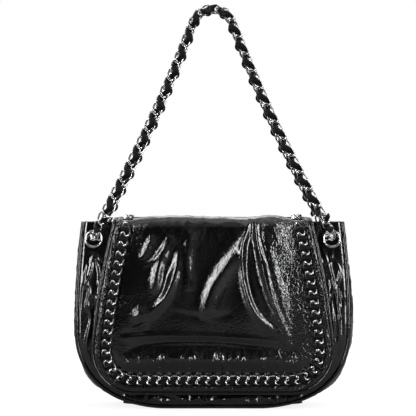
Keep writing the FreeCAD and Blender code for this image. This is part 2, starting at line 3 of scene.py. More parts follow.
import bmesh
import bpy
import numpy as np
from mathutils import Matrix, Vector


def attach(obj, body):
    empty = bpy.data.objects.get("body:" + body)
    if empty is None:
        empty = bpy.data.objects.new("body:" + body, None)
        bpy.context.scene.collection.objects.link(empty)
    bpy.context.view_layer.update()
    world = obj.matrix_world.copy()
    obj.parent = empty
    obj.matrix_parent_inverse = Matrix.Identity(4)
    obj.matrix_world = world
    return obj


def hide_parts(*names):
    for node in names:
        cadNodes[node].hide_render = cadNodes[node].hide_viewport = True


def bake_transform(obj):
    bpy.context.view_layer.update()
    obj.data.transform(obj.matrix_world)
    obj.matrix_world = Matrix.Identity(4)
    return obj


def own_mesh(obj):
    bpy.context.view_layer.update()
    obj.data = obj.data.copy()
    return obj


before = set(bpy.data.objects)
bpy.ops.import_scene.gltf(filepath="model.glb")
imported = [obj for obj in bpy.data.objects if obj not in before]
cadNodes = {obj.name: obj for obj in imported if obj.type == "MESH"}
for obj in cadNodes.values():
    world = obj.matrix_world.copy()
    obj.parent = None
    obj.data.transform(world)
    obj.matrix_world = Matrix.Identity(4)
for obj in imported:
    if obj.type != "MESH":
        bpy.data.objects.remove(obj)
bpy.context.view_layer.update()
scene = bpy.context.scene
scene.view_settings.view_transform = "Standard"
mm = 0.001
print("stage: frame loaded")

# Sizes shared with the solids, in millimetres
bodyNodes = [(0, 0), (50, 0), (97, 8), (150, 82), (144, 203)]
bodyTop = 203
facePoints = [(-29, bodyTop), (-44, 92), (-40, 0)]  # Y and Z of the front's top, belly and foot
flapNodes = [(0, 16), (84, 16), (131.5, 68), (109, 203.5)]
flapTopZ = 207.1
flapOut = 8.6
hingeY = 30.55
borderWidth = 10.5
channelWidth = 12
trimInset = 16.5
eyeletX = 129.692
eyeletZ = 184
strapStart = np.array([118.258, -39.764, 211.504])
strapApex = np.array([15, -6.5, 439])
strapBend = 22
strapSag = 4.0
strapSteps = 24
linkPitch = 10.4
bagSides = {"Left": -1, "Right": 1}
bagFaces = {"Front": 1, "Back": -1}

# Where the photo's pixels lie on the bag's face
photoMiddle = 212.8
photoFoot = 410
pixelSize = 1.079


def photoPoint(px, py):
    return ((px - photoMiddle) * pixelSize, (photoFoot - py) * pixelSize)


# Small sums used all over
def unit(vectors):
    return vectors / np.linalg.norm(vectors, axis=-1, keepdims=True)


def bell(offset, width, power=2):
    return np.exp(-(offset / width) ** power)


def lengthAlong(points):
    return np.concatenate([[0], np.cumsum(np.linalg.norm(np.diff(points, axis=0), axis=1))])


def sampled(wanted, along, points):
    return np.stack([np.interp(wanted, along, column) for column in np.asarray(points).T], axis=1)


def evenly(points, count):
    along = lengthAlong(points)
    return sampled(np.linspace(0, along[-1], count), along, points)


def cellMiddles(grid):
    return 0.25 * (grid[1:, 1:] + grid[:-1, 1:] + grid[1:, :-1] + grid[:-1, :-1])


def asPoints(*columns):
    return np.stack(np.broadcast_arrays(*columns), axis=-1)


def fade(offset, span):
    return np.clip(offset / span, 0, 1)


# The front face is one arc through its top, belly and foot
def circleThrough(points):
    points = np.array(points, float)
    system = np.column_stack([2 * points, np.ones(3)])
    y, z, spare = np.linalg.solve(system, (points ** 2).sum(axis=1))
    return y, z, math.sqrt(spare + y * y + z * z)


faceCY, faceCZ, faceR = circleThrough(facePoints)


def faceY(z):
    return faceCY - np.sqrt(faceR * faceR - (z - faceCZ) ** 2)


def faceNormal(z):
    return (faceY(z) - faceCY) / faceR, (z - faceCZ) / faceR


# Outlines are runs and arcs that follow on smoothly, so an inset keeps the same split
def halfOutline(nodeList, inset, steps):
    pts = [np.array(p, float) for p in nodeList]
    ways = []
    way = np.array([1.0, 0.0])
    for i, p in enumerate(pts):
        if i > 1:
            ahead = unit(p - pts[i - 1])
            way = ahead * (2 * ahead.dot(way)) - way
        ways.append(way)
    moved = [p + np.array([-w[1], w[0]]) * inset for p, w in zip(pts, ways)]
    out = []
    for i, count in enumerate(steps):
        w = ways[i]
        chord = moved[i + 1] - moved[i]
        size = np.linalg.norm(chord)
        alpha = math.atan2(w[0] * chord[1] - w[1] * chord[0], w.dot(chord))
        for f in np.arange(count) / count:
            reach = size * (f if abs(alpha) < 1e-6 else math.sin(alpha * f) / math.sin(alpha))
            c, s = math.cos(alpha * f), math.sin(alpha * f)
            out.append(moved[i] + reach * np.array([w[0] * c - w[1] * s, w[0] * s + w[1] * c]))
    out.append(moved[-1])
    return np.array(out)


def fullOutline(nodeList, inset, steps):
    half = halfOutline(nodeList, inset, steps)
    return np.vstack([half[::-1][:-1] * np.array([-1, 1]), half])


# Seeded noise for folds and crinkles
latticeSize = 128


def noise2(x, y, seed):
    angle = np.random.default_rng(seed).uniform(0, 2 * np.pi, (latticeSize, latticeSize))
    gx, gy = np.cos(angle), np.sin(angle)
    xi, yi = np.floor(x).astype(int), np.floor(y).astype(int)
    fx, fy = x - xi, y - yi

    def corner(i, j):
        a, b = (xi + i) % latticeSize, (yi + j) % latticeSize
        return gx[a, b] * (fx - i) + gy[a, b] * (fy - j)

    u = fx ** 3 * (fx * (fx * 6 - 15) + 10)
    v = fy ** 3 * (fy * (fy * 6 - 15) + 10)
    low = corner(0, 0) * (1 - u) + corner(1, 0) * u
    high = corner(0, 1) * (1 - u) + corner(1, 1) * u
    return low * (1 - v) + high * v


# Soft swells and sharp creases, each given by a height, a span and a seed
def cloud(size, x, y, octaves=3):
    height, reach, seed = size
    total = 0
    for k in range(octaves):
        span = reach * 0.5 ** k
        total = total + 0.5 ** k * noise2(x / span + 7.3 * k, y / span + 3.1 * k, seed + k)
    return height * total


def creases(size, x, y):
    height, reach, seed = size
    total = 0
    for k in range(2):
        span = reach * 0.55 ** k
        n = noise2(x / span + 5.7 * k, y / span + 9.2 * k, seed + 11 * k)
        total = total + 0.55 ** k * (1 - np.clip(np.abs(n) * 5, 0, 1)) ** 2
    return height * total


def smoothRoute(points, count=60):
    p = np.array(points, float)
    if len(p) < 3:
        return evenly(p, count)
    ends = np.vstack([2 * p[0] - p[1], p, 2 * p[-1] - p[-2]])
    out = []
    for i in range(1, len(ends) - 2):
        a, b, c, d = ends[i - 1:i + 3]
        square = 2 * a - 5 * b + 4 * c - d
        cube = 3 * b - a - 3 * c + d
        for t in np.linspace(0, 1, 24, endpoint=False):
            out.append(0.5 * (2 * b + (c - a) * t + square * t * t + cube * t ** 3))
    out.append(p[-1])
    return evenly(np.array(out), count)


# A raised or sunk fold along a route of photo pixels, fading at both ends
def fold(x, z, route, width, height, lean=0.0):
    path = smoothRoute([photoPoint(*p) for p in route])
    best = np.full(x.shape, 1e9)
    side = np.zeros(x.shape)
    place = np.zeros(x.shape)
    total = len(path) - 1
    for i in range(total):
        a = path[i]
        d = path[i + 1] - a
        t = np.clip(((x - a[0]) * d[0] + (z - a[1]) * d[1]) / d.dot(d), 0, 1)
        ox = x - a[0] - t * d[0]
        oz = z - a[1] - t * d[1]
        dist = np.hypot(ox, oz)
        nearer = dist < best
        best = np.where(nearer, dist, best)
        side = np.where(nearer, np.sign(d[0] * oz - d[1] * ox), side)
        place = np.where(nearer, (i + t) / total, place)
    taper = np.sin(np.pi * np.clip(place, 0, 1)) ** 0.6
    q = best * side / width
    return height * taper * (np.exp(-q * q) * (1 - abs(lean)) + lean * 1.6 * q * np.exp(-q * q * 0.7))


# Meshes
def addObject(name, data):
    thing = bpy.data.objects.new(name, data)
    scene.collection.objects.link(thing)
    return thing


def meshPiece(name, verts, faces, material, sharp=45):
    mesh = bpy.data.meshes.new(name)
    mesh.from_pydata([tuple(v) for v in np.asarray(verts) * mm], [], faces)
    mesh.validate()
    mesh.polygons.foreach_set("use_smooth", [True] * len(mesh.polygons))
    mesh.set_sharp_from_angle(angle=math.radians(sharp))
    mesh.materials.append(material)
    return addObject(name, mesh)


def fixFacing(piece):
    shell = bmesh.new()
    shell.from_mesh(piece.data)
    bmesh.ops.recalc_face_normals(shell, faces=shell.faces)
    shell.to_mesh(piece.data)
    shell.free()


# A sheet with thickness, walled at its edges and round its holes
def sheetPiece(name, outer, inner, material, hole=None, ring=False, capped=False):
    rows, cols = outer.shape[:2]
    spans = cols if ring else cols - 1
    count = rows * cols
    keep = np.zeros((rows + 1, spans + 2), bool)
    keep[1:-1, 1:-1] = True if hole is None else ~hole
    if ring:
        keep[:, 0] = keep[:, -2]
        keep[:, -1] = keep[:, 1]
    if capped:
        keep[0] = True
    faces = []
    for i in range(rows - 1):
        for j in range(spans):
            if not keep[i + 1, j + 1]:
                continue
            a, b = i * cols + j, i * cols + (j + 1) % cols
            c, d = b + cols, a + cols
            faces.append((a, b, c, d))
            faces.append((count + d, count + c, count + b, count + a))
            beside = keep[i, j + 1], keep[i + 2, j + 1], keep[i + 1, j], keep[i + 1, j + 2]
            for joined, (first, second) in zip(beside, ((b, a), (d, c), (a, d), (c, b))):
                if not joined:
                    faces.append((first, second, count + second, count + first))
    if capped:
        faces.append(tuple(reversed(range(cols))))
        faces.append(tuple(range(count, count + cols)))
    verts = np.vstack([outer.reshape(-1, 3), inner.reshape(-1, 3)])
    return meshPiece(name, verts, faces, material)


# A sheet raised from its shape by a swell, over an inner side some way below
def shellPiece(name, shape, push, swell, look, material, order=np.s_[:], hole=None):
    swell = swell[..., None]
    outer = shape + push * swell
    outer[..., 2] = np.maximum(outer[..., 2], 0)
    inner = shape + push * np.minimum(swell - look["skin"], look["inside"])
    return sheetPiece(name, outer[order], inner[order], material, hole)


# A tube over rings of points, closed on itself or capped
def tubePiece(name, rings, material, sharp=45, joined=False):
    count, sides = rings.shape[:2]
    faces = []
    for i in range(count if joined else count - 1):
        here, there = i * sides, (i + 1) % count * sides
        for k in range(sides):
            n = (k + 1) % sides
            faces.append((here + k, here + n, there + n, there + k))
    if not joined:
        last = (count - 1) * sides
        faces.append(tuple(reversed(range(sides))))
        faces.append(tuple(range(last, last + sides)))
    return meshPiece(name, rings.reshape(-1, 3), faces, material, sharp)


def settle(piece, body, slotName, *nodes):
    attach(piece, body)
    if nodes:
        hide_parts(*nodes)


# Node helpers, where an input may be a number, an output or a node, which stands for its first output
def addNode(tree, kind, inputs=None, **settings):
    node = tree.nodes.new(kind)
    for key, value in settings.items():
        setattr(node, key, value)
    for key, value in (inputs or {}).items():
        if isinstance(value, bpy.types.Node):
            value = value.outputs[0]
        if isinstance(value, bpy.types.NodeSocket):
            tree.links.new(value, node.inputs[key])
        else:
            node.inputs[key].default_value = value
    return node


def mathNode(tree, operation, first, second):
    return addNode(tree, "ShaderNodeMath", {0: first, 1: second}, operation=operation).outputs["Value"]


def noiseNode(tree, place, scale, detail=3.0, rough=0.55, distort=0.0):
    values = {"Vector": place, "Scale": scale, "Detail": detail, "Roughness": rough, "Distortion": distort}
    return addNode(tree, "ShaderNodeTexNoise", values).outputs["Fac"]


def ramp(tree, source, low, high, lowValue, highValue, soft=False):
    values = {"Value": source, "From Min": low, "From Max": high, "To Min": lowValue, "To Max": highValue}
    curve = "SMOOTHSTEP" if soft else "LINEAR"
    return addNode(tree, "ShaderNodeMapRange", values, interpolation_type=curve).outputs["Result"]


def objectPlace(tree, stretch=(1, 1, 1)):
    coords = addNode(tree, "ShaderNodeTexCoord")
    mapping = addNode(tree, "ShaderNodeMapping", {"Vector": coords.outputs["Object"], "Scale": stretch})
    return mapping.outputs["Vector"]


def bumpChain(tree, shader, layers, targets=("Normal",)):
    normal = None
    for height, strength, depth in layers:
        values = {"Height": height, "Strength": strength, "Distance": depth}
        if normal is not None:
            values["Normal"] = normal
        normal = addNode(tree, "ShaderNodeBump", values).outputs["Normal"]
    for target in targets:
        tree.links.new(normal, shader.inputs[target])


def newMaterial(name, values):
    mat = bpy.data.materials.new(name)
    mat.use_nodes = True
    shader = mat.node_tree.nodes["Principled BSDF"]
    for key, value in values.items():
        shader.inputs[key].default_value = value
    return mat, mat.node_tree, shader


# Patent leather: black under a clear coat, with folds, pores, pebbles and cracks as bump
patentBase = {
    "Base Color": (0.003, 0.003, 0.0033, 1),
    "Specular IOR Level": 0.06,
    "Coat Weight": 1.0,
    "Coat Roughness": 0.04,
    "Coat IOR": 1.8,
}
patentGrain = {
    "patchScale": 22,
    "foldScale": 60,
    "pebbleScale": 720,
    "crackScale": 170,
    "crackWander": 0.006,
    "wanderScale": 120,
    "crackWidth": 0.12,
    "poreScale": 480,
    "grainFade": 0.03,
    "patches": (0.5, 0.66, 0.0, 1.0),
    "patchesLeft": (0.45, 0.66, 0.2, 0.5),
    "rough": (0.35, 0.7, 0.16, 0.34),
    # Strength and depth of folds, pores, pebbles and cracks
    "bumps": [(0.10, 0.0025), (0.22, 0.0008), (0.45, 0.0007), (0.25, 0.0006)],
}
leatherLooks = {
    "patent_flap": {"crinkle": 1.0, "stretch": (1, 1, 1), "grain": 1.0, "grainFrom": 0.042},
    "patent_border": {"crinkle": 1.5, "stretch": (1, 1, 1), "grain": 1.1, "grainFrom": -0.5},
    "patent_body": {"crinkle": 1.2, "stretch": (1, 1, 0.8), "grain": 0.6, "grainFrom": None},
    "patent_edge": {"crinkle": 0.5, "stretch": (1, 1, 1), "grain": 0.4, "grainFrom": None},
}


def patentLeather(name, look):
    grain = patentGrain
    mat, tree, shader = newMaterial(name, patentBase)
    place = objectPlace(tree, look["stretch"])
    patch = noiseNode(tree, place, grain["patchScale"], 2.0)
    where = ramp(tree, patch, *grain["patches"])
    start = look["grainFrom"]
    if start is not None:
        split = addNode(tree, "ShaderNodeSeparateXYZ", {"Vector": place})
        rightward = ramp(tree, split.outputs["X"], start, start + grain["grainFade"], 0.0, 1.0)
        where = mathNode(tree, "MAXIMUM", ramp(tree, patch, *grain["patchesLeft"]), rightward)
    folds = noiseNode(tree, place, grain["foldScale"], 2.0, 0.45, 0.8)
    pores = noiseNode(tree, place, grain["poreScale"], 3.0, 0.65)
    values = {"Vector": place, "Scale": grain["pebbleScale"], "Randomness": 1.0}
    pebble = addNode(tree, "ShaderNodeTexVoronoi", values, feature="SMOOTH_F1").outputs["Distance"]
    wander = noiseNode(tree, place, grain["wanderScale"], 2.0)
    wander = mathNode(tree, "MULTIPLY", wander, grain["crackWander"])
    shifted = addNode(tree, "ShaderNodeVectorMath", {0: place, 1: wander}, operation="ADD")
    values = {"Vector": shifted.outputs["Vector"], "Scale": grain["crackScale"], "Randomness": 1.0}
    crack = addNode(tree, "ShaderNodeTexVoronoi", values, feature="DISTANCE_TO_EDGE").outputs["Distance"]
    lines = ramp(tree, crack, 0.0, grain["crackWidth"], 0.0, 1.0)
    tree.links.new(ramp(tree, patch, *grain["rough"]), shader.inputs["Roughness"])
    heights = [
        (folds, look["crinkle"]),
        (pores, 1.0),
        (mathNode(tree, "MULTIPLY", pebble, where), look["grain"]),
        (mathNode(tree, "MULTIPLY", lines, where), look["grain"]),
    ]
    layers = [(height, bump[0] * share, bump[1]) for (height, share), bump in zip(heights, grain["bumps"])]
    bumpChain(tree, shader, layers, ("Normal", "Coat Normal"))
    return mat


# Plain finishes, each with one noise for its roughness and its bump
plainLook = {"metal": 0.0, "gloss": 0.5, "detail": 3.0, "spread": (0.3, 0.7)}
silverLook = dict(plainLook, colour=(0.7, 0.7, 0.69, 1), metal=1.0, scale=300, detail=4.0, spread=(0.3, 0.75),
                  rough=(0.05, 0.15), bump=(0.05, 0.0005))
laceFinish = dict(plainLook, colour=(0.006, 0.006, 0.0065, 1), gloss=0.15, scale=900, rough=(0.36, 0.52),
                  bump=(0.25, 0.0004))
threadFinish = dict(plainLook, colour=(0.02, 0.02, 0.022, 1), scale=2500, detail=2.0, rough=(0.35, 0.6),
                    bump=(0.3, 0.0002))
boardFinish = dict(plainLook, colour=(0.06, 0.06, 0.06, 1), scale=600, rough=(0.5, 0.7), bump=(0.2, 0.0003))


def plainFinish(name, look):
    values = {"Base Color": look["colour"], "Metallic": look["metal"], "Specular IOR Level": look["gloss"]}
    mat, tree, shader = newMaterial(name, values)
    grain = noiseNode(tree, objectPlace(tree), look["scale"], look["detail"])
    tree.links.new(ramp(tree, grain, *look["spread"], *look["rough"]), shader.inputs["Roughness"])
    bumpChain(tree, shader, [(grain, *look["bump"])])
    return mat


# Black lining cloth whose colour has painted shade in the weave's hollows and a painted highlight on its
# ridges
clothLook = {
    "hollow": (0.02, 0.02, 0.023, 1),
    "ridgeHighlight": (0.05, 0.05, 0.056, 1),
    "rough": 0.8,
    "weave": 420,
    "bump": (0.4, 0.0004),
}


def liningCloth(name):
    mat, tree, shader = newMaterial(name, {"Roughness": clothLook["rough"]})
    values = {"Vector": objectPlace(tree), "Scale": clothLook["weave"]}
    waves = []
    for axis in ("X", "Z"):
        waves.append(addNode(tree, "ShaderNodeTexWave", values, bands_direction=axis).outputs["Fac"])
    weave = mathNode(tree, "MULTIPLY", *waves)
    # The weave mixes the colour darker in its hollows as painted shade and lighter on its ridges as painted
    # highlight, and also drives the bump
    values = {"Factor": weave, "A": clothLook["hollow"], "B": clothLook["ridgeHighlight"]}
    tone = addNode(tree, "ShaderNodeMix", values, data_type="RGBA")
    tree.links.new(tone.outputs["Result"], shader.inputs["Base Color"])
    bumpChain(tree, shader, [(weave, *clothLook["bump"])])
    return mat


flapLeather, borderLeather, bodyLeather, edgeLeather = [patentLeather(*item) for item in leatherLooks.items()]
silver = plainFinish("silver_metal_look", silverLook)
snapSteel = plainFinish("snap_steel_look", silverLook)
lace = plainFinish("lace_leather_look", laceFinish)
cloth = liningCloth("lining_cloth_look")
thread = plainFinish("thread_look", threadFinish)
board = plainFinish("board_look", boardFinish)
print("stage: materials")

# Solids that keep their shape get these finishes
keptLooks = {
    "base_board": board,
    "snap_socket": snapSteel,
    "snap_backing": snapSteel,
    "snap_stud": snapSteel,
}
for nodeName in cadNodes:
    if nodeName.startswith("eyelet_washer"):
        keptLooks[nodeName] = silver
for nodeName, look in keptLooks.items():
    solid = cadNodes[nodeName]
    solid.data.materials.clear()
    solid.data.materials.append(look)


# Front and back panels, cut round the eyelets
panelLook = {
    "inset": 5.1, "rows": 118, "columns": 240, "hole": 9.0, "footMargin": 3,
    "eyeletCalm": 15, "rimCalm": 12, "rimDip": 0.6, "rimDipWidth": 1.8,
    "skin": 1.2, "inside": -4.2,
}
frontLook = {
    "swell": (1.0, 45, 21), "sink": 0.4, "crease": (1.1, 27, 26), "fine": (0.22, 14, 30), "most": 2.6,
    "wobble": (0.6, 24, 38), "snapZ": 54, "snapCalm": 15, "foldCalm": 4,
}
backLook = {
    "swell": (1.6, 80, 64), "rise": 0.4, "crease": (0.9, 50, 69), "most": 2.5,
    "wobble": (0.6, 24, 81), "tabHalf": 100, "tabFoot": 176, "tabCalm": 8,
}
# The front's lowest band stands out and is gathered at three places, in photo pixels
bandLook = {
    "stand": 3.4, "halfLength": 96.5, "endFade": 0.5,
    "top": 14.5, "topFade": 2.2, "foot": 6, "footFade": 0.8,
    "pucker": (0.7, 14, 203), "ripple": (0.4, 12, 207),
    "crease": ([(208, 401), (226, 399), (247, 397)], 1.8, 1.6),
    "gatherAt": (165, 207, 252), "gatherReach": 9, "gatherRise": 1.0,
    "gatherSwell": (1.6, 6.5), "gatherSeed": 211, "gatherFold": (2.0, 1.9),
    "gatherFan": (-8, -3, 2, 7), "footFan": 0.3, "gatherTop": 391, "gatherFoot": 404,
}
# Folds beside the flap, as photo pixels, width and height
sideFolds = [
    ([(93, 254), (88, 275), (82, 290), (80, 315)], 2.1, 2.0),
    ([(84, 252), (98, 262), (100, 285), (95, 305)], 2.0, 1.8),
    ([(84, 300), (91, 318), (86, 345), (92, 368)], 2.1, 1.8),
    ([(88, 262), (84, 280), (89, 292), (84, 312)], 1.8, 1.5),
    ([(96, 300), (92, 325), (97, 350)], 1.8, -1.2),
    ([(322, 246), (330, 270), (337, 300), (341, 345)], 2.1, 2.0),
    ([(318, 256), (328, 275), (329, 305)], 2.0, 1.7),
    ([(345, 270), (348, 300), (346, 330)], 2.0, 1.7),
    ([(332, 300), (334, 335), (328, 362)], 2.0, 1.6),
    ([(333, 258), (341, 272), (338, 290), (344, 316)], 1.8, 1.5),
    ([(338, 280), (343, 310)], 1.8, -1.2),
    ([(150, 400), (168, 393), (185, 401)], 2.4, 1.6),
    ([(190, 402), (207, 394), (226, 401)], 2.4, 1.6),
    ([(236, 402), (253, 394), (272, 401)], 2.4, 1.6),
]


def backLift(x, z, edge, calm, quiet):
    look = backLook
    lift = cloud(look["swell"], x, z, 2) + look["rise"]
    lift = lift + creases(look["crease"], x * 1.2, z * 0.6)
    away = np.maximum(np.abs(x) - look["tabHalf"], 0) + np.maximum(look["tabFoot"] - z, 0)
    return np.minimum(lift, look["most"]) * quiet * (1 - bell(away, look["tabCalm"]))


def bandLift(x, z):
    look = bandLook
    band = 1 / (1 + np.exp((np.abs(x) - look["halfLength"]) / look["endFade"]))
    band = band / (1 + np.exp((z - look["top"]) / look["topFade"]))
    band = band / (1 + np.exp((look["foot"] - z) / look["footFade"]))
    pucker = creases(look["pucker"], x * 1.5, z * 0.5) + cloud(look["ripple"], x, z, 2)
    for px in look["gatherAt"]:
        near = bell(x - photoPoint(px, 0)[0], look["gatherReach"])
        bulge = cloud((*look["gatherSwell"], look["gatherSeed"] + px), x, z, 2)
        pucker = pucker + near * (look["gatherRise"] + bulge)
        for spread in look["gatherFan"]:
            gather = [(px + spread, look["gatherTop"]), (px + look["footFan"] * spread, look["gatherFoot"])]
            pucker = pucker + fold(x, z, gather, *look["gatherFold"])
    pucker = pucker + fold(x, z, *look["crease"])
    return band * (look["stand"] + pucker)


def frontLift(x, z, edge, calm, quiet):
    look = frontLook
    calm = calm * (1 - bell(np.hypot(x, z - look["snapZ"]), look["snapCalm"], 4))
    crinkle = cloud(look["swell"], x, z, 2) - look["sink"]
    crinkle = crinkle + creases(look["crease"], x * 1.3, z * 0.7) + cloud(look["fine"], x, z * 0.8, 2)
    ridges = sum(fold(x, z, *row) for row in sideFolds)
    lift = np.minimum(crinkle, look["most"]) * quiet * calm
    lift = lift + np.minimum(ridges, look["most"]) * calm * (1 - bell(edge, look["foldCalm"]))
    return lift + bandLift(x, z)


def bodyPanel(name, node, look, panelLift, flip, order):
    radius = panelLook["hole"]
    rim = evenly(halfOutline(bodyNodes, panelLook["inset"], [1, 12, 48, 60])[1:], panelLook["rows"])
    u = np.sin(np.linspace(-0.5 * np.pi, 0.5 * np.pi, panelLook["columns"]))
    x = rim[:, :1] * u
    z = rim[:, 1:] + 0 * u
    reach = np.hypot(np.abs(x) - eyeletX, z - eyeletZ)
    hole = np.hypot(np.abs(cellMiddles(x)) - eyeletX, cellMiddles(z) - eyeletZ) < radius
    share = cellMiddles(np.pad(hole, 1).astype(float))
    brink = (share > 0) & (share < 1)
    pull = radius / np.maximum(reach, 1e-6)
    x = np.where(brink, np.sign(x) * (eyeletX + (np.abs(x) - eyeletX) * pull), x)
    z = np.where(brink, eyeletZ + (z - eyeletZ) * pull, z)
    edge = np.minimum((1 - np.abs(u)) * rim[:, :1], z - rim[0, 1] + panelLook["footMargin"])
    wobble = panelLook["rimCalm"] * (1 + cloud(look["wobble"], x * 0.4, z, 2))
    calm = 1 - bell(reach, panelLook["eyeletCalm"], 4)
    lift = panelLift(x, z, edge, calm, calm * (1 - bell(edge, wobble)))
    lift = lift - panelLook["rimDip"] * bell(edge, panelLook["rimDipWidth"])
    ny, nz = faceNormal(z)
    shape = asPoints(x, flip * faceY(z), z)
    push = asPoints(0, flip * ny, nz)
    piece = shellPiece(name, shape, push, lift, panelLook, bodyLeather, order, hole[order])
    settle(piece, "bag", "patent_leather", node)


bodyPanel("bodyFront", "front_panel", frontLook, frontLift, 1, np.s_[:])
bodyPanel("bodyBack", "back_panel", backLook, backLift, -1, np.s_[:, ::-1])

# Gussets and base, one band round the body's rim
gussetLook = {
    "rows": 120, "columns": 46, "inset": 5.1,
    "bellyZ": 105, "bellySpan": 55, "cornerZ": 30, "cornerSpan": 18,
    "swell": (1.3, 40), "fine": (0.3, 8), "crease": (1.0, 34), "sink": 0.3,
    "edgeCalm": 7, "edgeDip": 1.0, "edgeDipWidth": 2.2, "footCalm": 14, "footShare": 0.35, "deepest": -1.2,
    "flareReach": 9, "flareFoot": 4, "baseHalf": 97.01, "baseTop": 12, "seamGap": 0.15,
    "skin": 1.2, "inside": -4.2,
}


def bandPiece(name, node, track, seed, flare, belly=0.0, corner=0.0):
    look = gussetLook
    track = evenly(track, look["rows"])
    way = unit(np.gradient(track, axis=0))
    v = np.linspace(-1, 1, look["columns"])
    depth = (np.abs(faceY(track[:, 1])) - look["inset"])[:, None]
    along = lengthAlong(track)
    y = depth * v
    s = along[:, None] + 0 * v
    z = track[:, 1:] + 0 * v
    swell = belly * bell(z - look["bellyZ"], look["bellySpan"]) * (1 - v ** 2)
    swell = swell + corner * bell(z - look["cornerZ"], look["cornerSpan"]) * (1 - v ** 4)
    swell = swell + cloud((*look["swell"], seed), s, y * 1.4) + cloud((*look["fine"], seed + 8), s, y, 2)
    swell = swell + creases((*look["crease"], seed + 3), s * 0.8, y * 1.6) - look["sink"]
    edge = (1 - np.abs(v)) * depth
    swell = swell * (1 - bell(edge, look["edgeCalm"])) - look["edgeDip"] * bell(edge, look["edgeDipWidth"])
    low = fade(z, look["footCalm"])
    share = look["footShare"]
    swell = np.where(swell > 0, swell * low, swell * (share + (1 - share) * low))
    ends = np.minimum(s, along[-1] - s)
    swell = swell + flare * bell(ends, look["flareReach"]) * fade(z, look["flareFoot"])
    swell = np.maximum(swell, look["deepest"])
    shape = asPoints(track[:, :1], y, z)
    push = asPoints(way[:, 1], 0, -way[:, 0])[:, None, :]
    settle(shellPiece(name, shape, push, swell, look, bodyLeather), "bag", "patent_leather", node)


bodyRim = fullOutline(bodyNodes, 0, [30, 30, 60, 60])
baseSide = np.abs(bodyRim[:, 0]) <= gussetLook["baseHalf"]
onBase = np.flatnonzero(baseSide & (bodyRim[:, 1] < gussetLook["baseTop"]))
firstBase, lastBase = onBase[0], onBase[-1]
seamGap = gussetLook["seamGap"]
leftTrack = bodyRim[:firstBase + 1].copy()
leftTrack[-1] = leftTrack[-1] * (1 - seamGap) + leftTrack[-2] * seamGap
rightTrack = bodyRim[lastBase:].copy()
rightTrack[0] = rightTrack[0] * (1 - seamGap) + rightTrack[1] * seamGap
bandPiece("gussetLeft", "left_gusset", leftTrack, 31, -0.6, 1.4, 3.2)
bandPiece("gussetRight", "right_gusset", rightTrack, 44, -0.6, 4.8, 3.6)
bandPiece("basePanel", "base_panel", bodyRim[firstBase:lastBase + 1], 52, 2.4)
print("stage: body leather")

# Flap leather, in one run from the back hinge over the shoulder and down the front
shoulderZ = 195.0
shoulderY = float(faceY(shoulderZ)) - flapOut
crestY = shoulderY + 12.0
topRows = 22
shoulderRows = 16
shoulderPull = 17
hingeGap = 0.6
rearLook = {"sink": 0.6, "from": 26, "span": 5}  # the top dips a little towards its hinge


def flapRun(frontZ):
    topY = np.linspace(hingeY + hingeGap, crestY, topRows, endpoint=False)
    dip = fade(topY - rearLook["from"], rearLook["span"])
    topZ = flapTopZ - rearLook["sink"] * dip ** 2
    t = np.linspace(0, 1, shoulderRows, endpoint=False)[:, None]
    ny, nz = faceNormal(shoulderZ)
    endWay = np.array([nz, -ny]) * shoulderPull
    if endWay[1] > 0:
        endWay = -endWay
    bend = (2 * t ** 3 - 3 * t ** 2 + 1) * np.array([crestY, flapTopZ])
    bend = bend + (t ** 3 - 2 * t ** 2 + t) * np.array([-shoulderPull, 0])
    bend = bend + (3 * t ** 2 - 2 * t ** 3) * np.array([shoulderY, shoulderZ]) + (t ** 3 - t ** 2) * endWay
    y = np.concatenate([topY, bend[:, 0], faceY(frontZ) - flapOut])
    z = np.concatenate([topZ, bend[:, 1], frontZ])
    way = unit(asPoints(np.gradient(y), np.gradient(z)))
    return y, z, way[:, 1], -way[:, 0]


def halfWidths(inset, rowsFront):
    rim = evenly(halfOutline(flapNodes, inset, [1, 40, 60])[1:], 400)
    front = evenly(rim[rim[:, 1] <= shoulderZ], rowsFront)[::-1]
    slope = (rim[-1, 0] - rim[-40, 0]) / (rim[-1, 1] - rim[-40, 1])
    topWidth = rim[-1, 0] + slope * 2
    turn = np.linspace(0, 1, shoulderRows, endpoint=False) ** 2
    bend = topWidth + (front[0, 0] - topWidth) * turn
    return front[:, 1], np.concatenate([np.full(topRows, topWidth), bend, front[:, 0]])


def overShoulder(piece, *nodes):
    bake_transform(piece)
    if nodes:
        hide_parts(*nodes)


# Centre panel: folds are photo pixels, width, height and lean, and bumps are a pixel, two radii and a height
centreLook = {
    "columns": 160, "rows": 128, "stand": 1.2, "swell": (1.1, 60, 71), "fine": (0.05, 9, 77),
    "crackle": (1.3, 20, 83), "crackleY": 362, "crackleSpan": 9,
    "grain": (0.30, 20, 91), "grainX": 75, "grainSpan": 24,
    "hingeCalm": 8, "hingeFade": 50, "hingeShare": 0.12, "lowest": -2.0, "highest": 6.5, "deepest": -1.9,
    "edgeCalm": 10, "edgeDip": 0.4, "edgeDipWidth": 2.0, "rearDrop": 1.3, "rearEnd": 58, "rearFade": 40,
    "wave": (1.3, 75, 97), "crestSwell": (1.5, 34, 301), "crestCrease": (0.6, 30, 307),
    "crestCalm": 22, "crestFrom": 44, "crestGrow": 16, "crestPast": 22, "crestFade": 25,
    "skin": 0.8, "inside": -2.0,
}
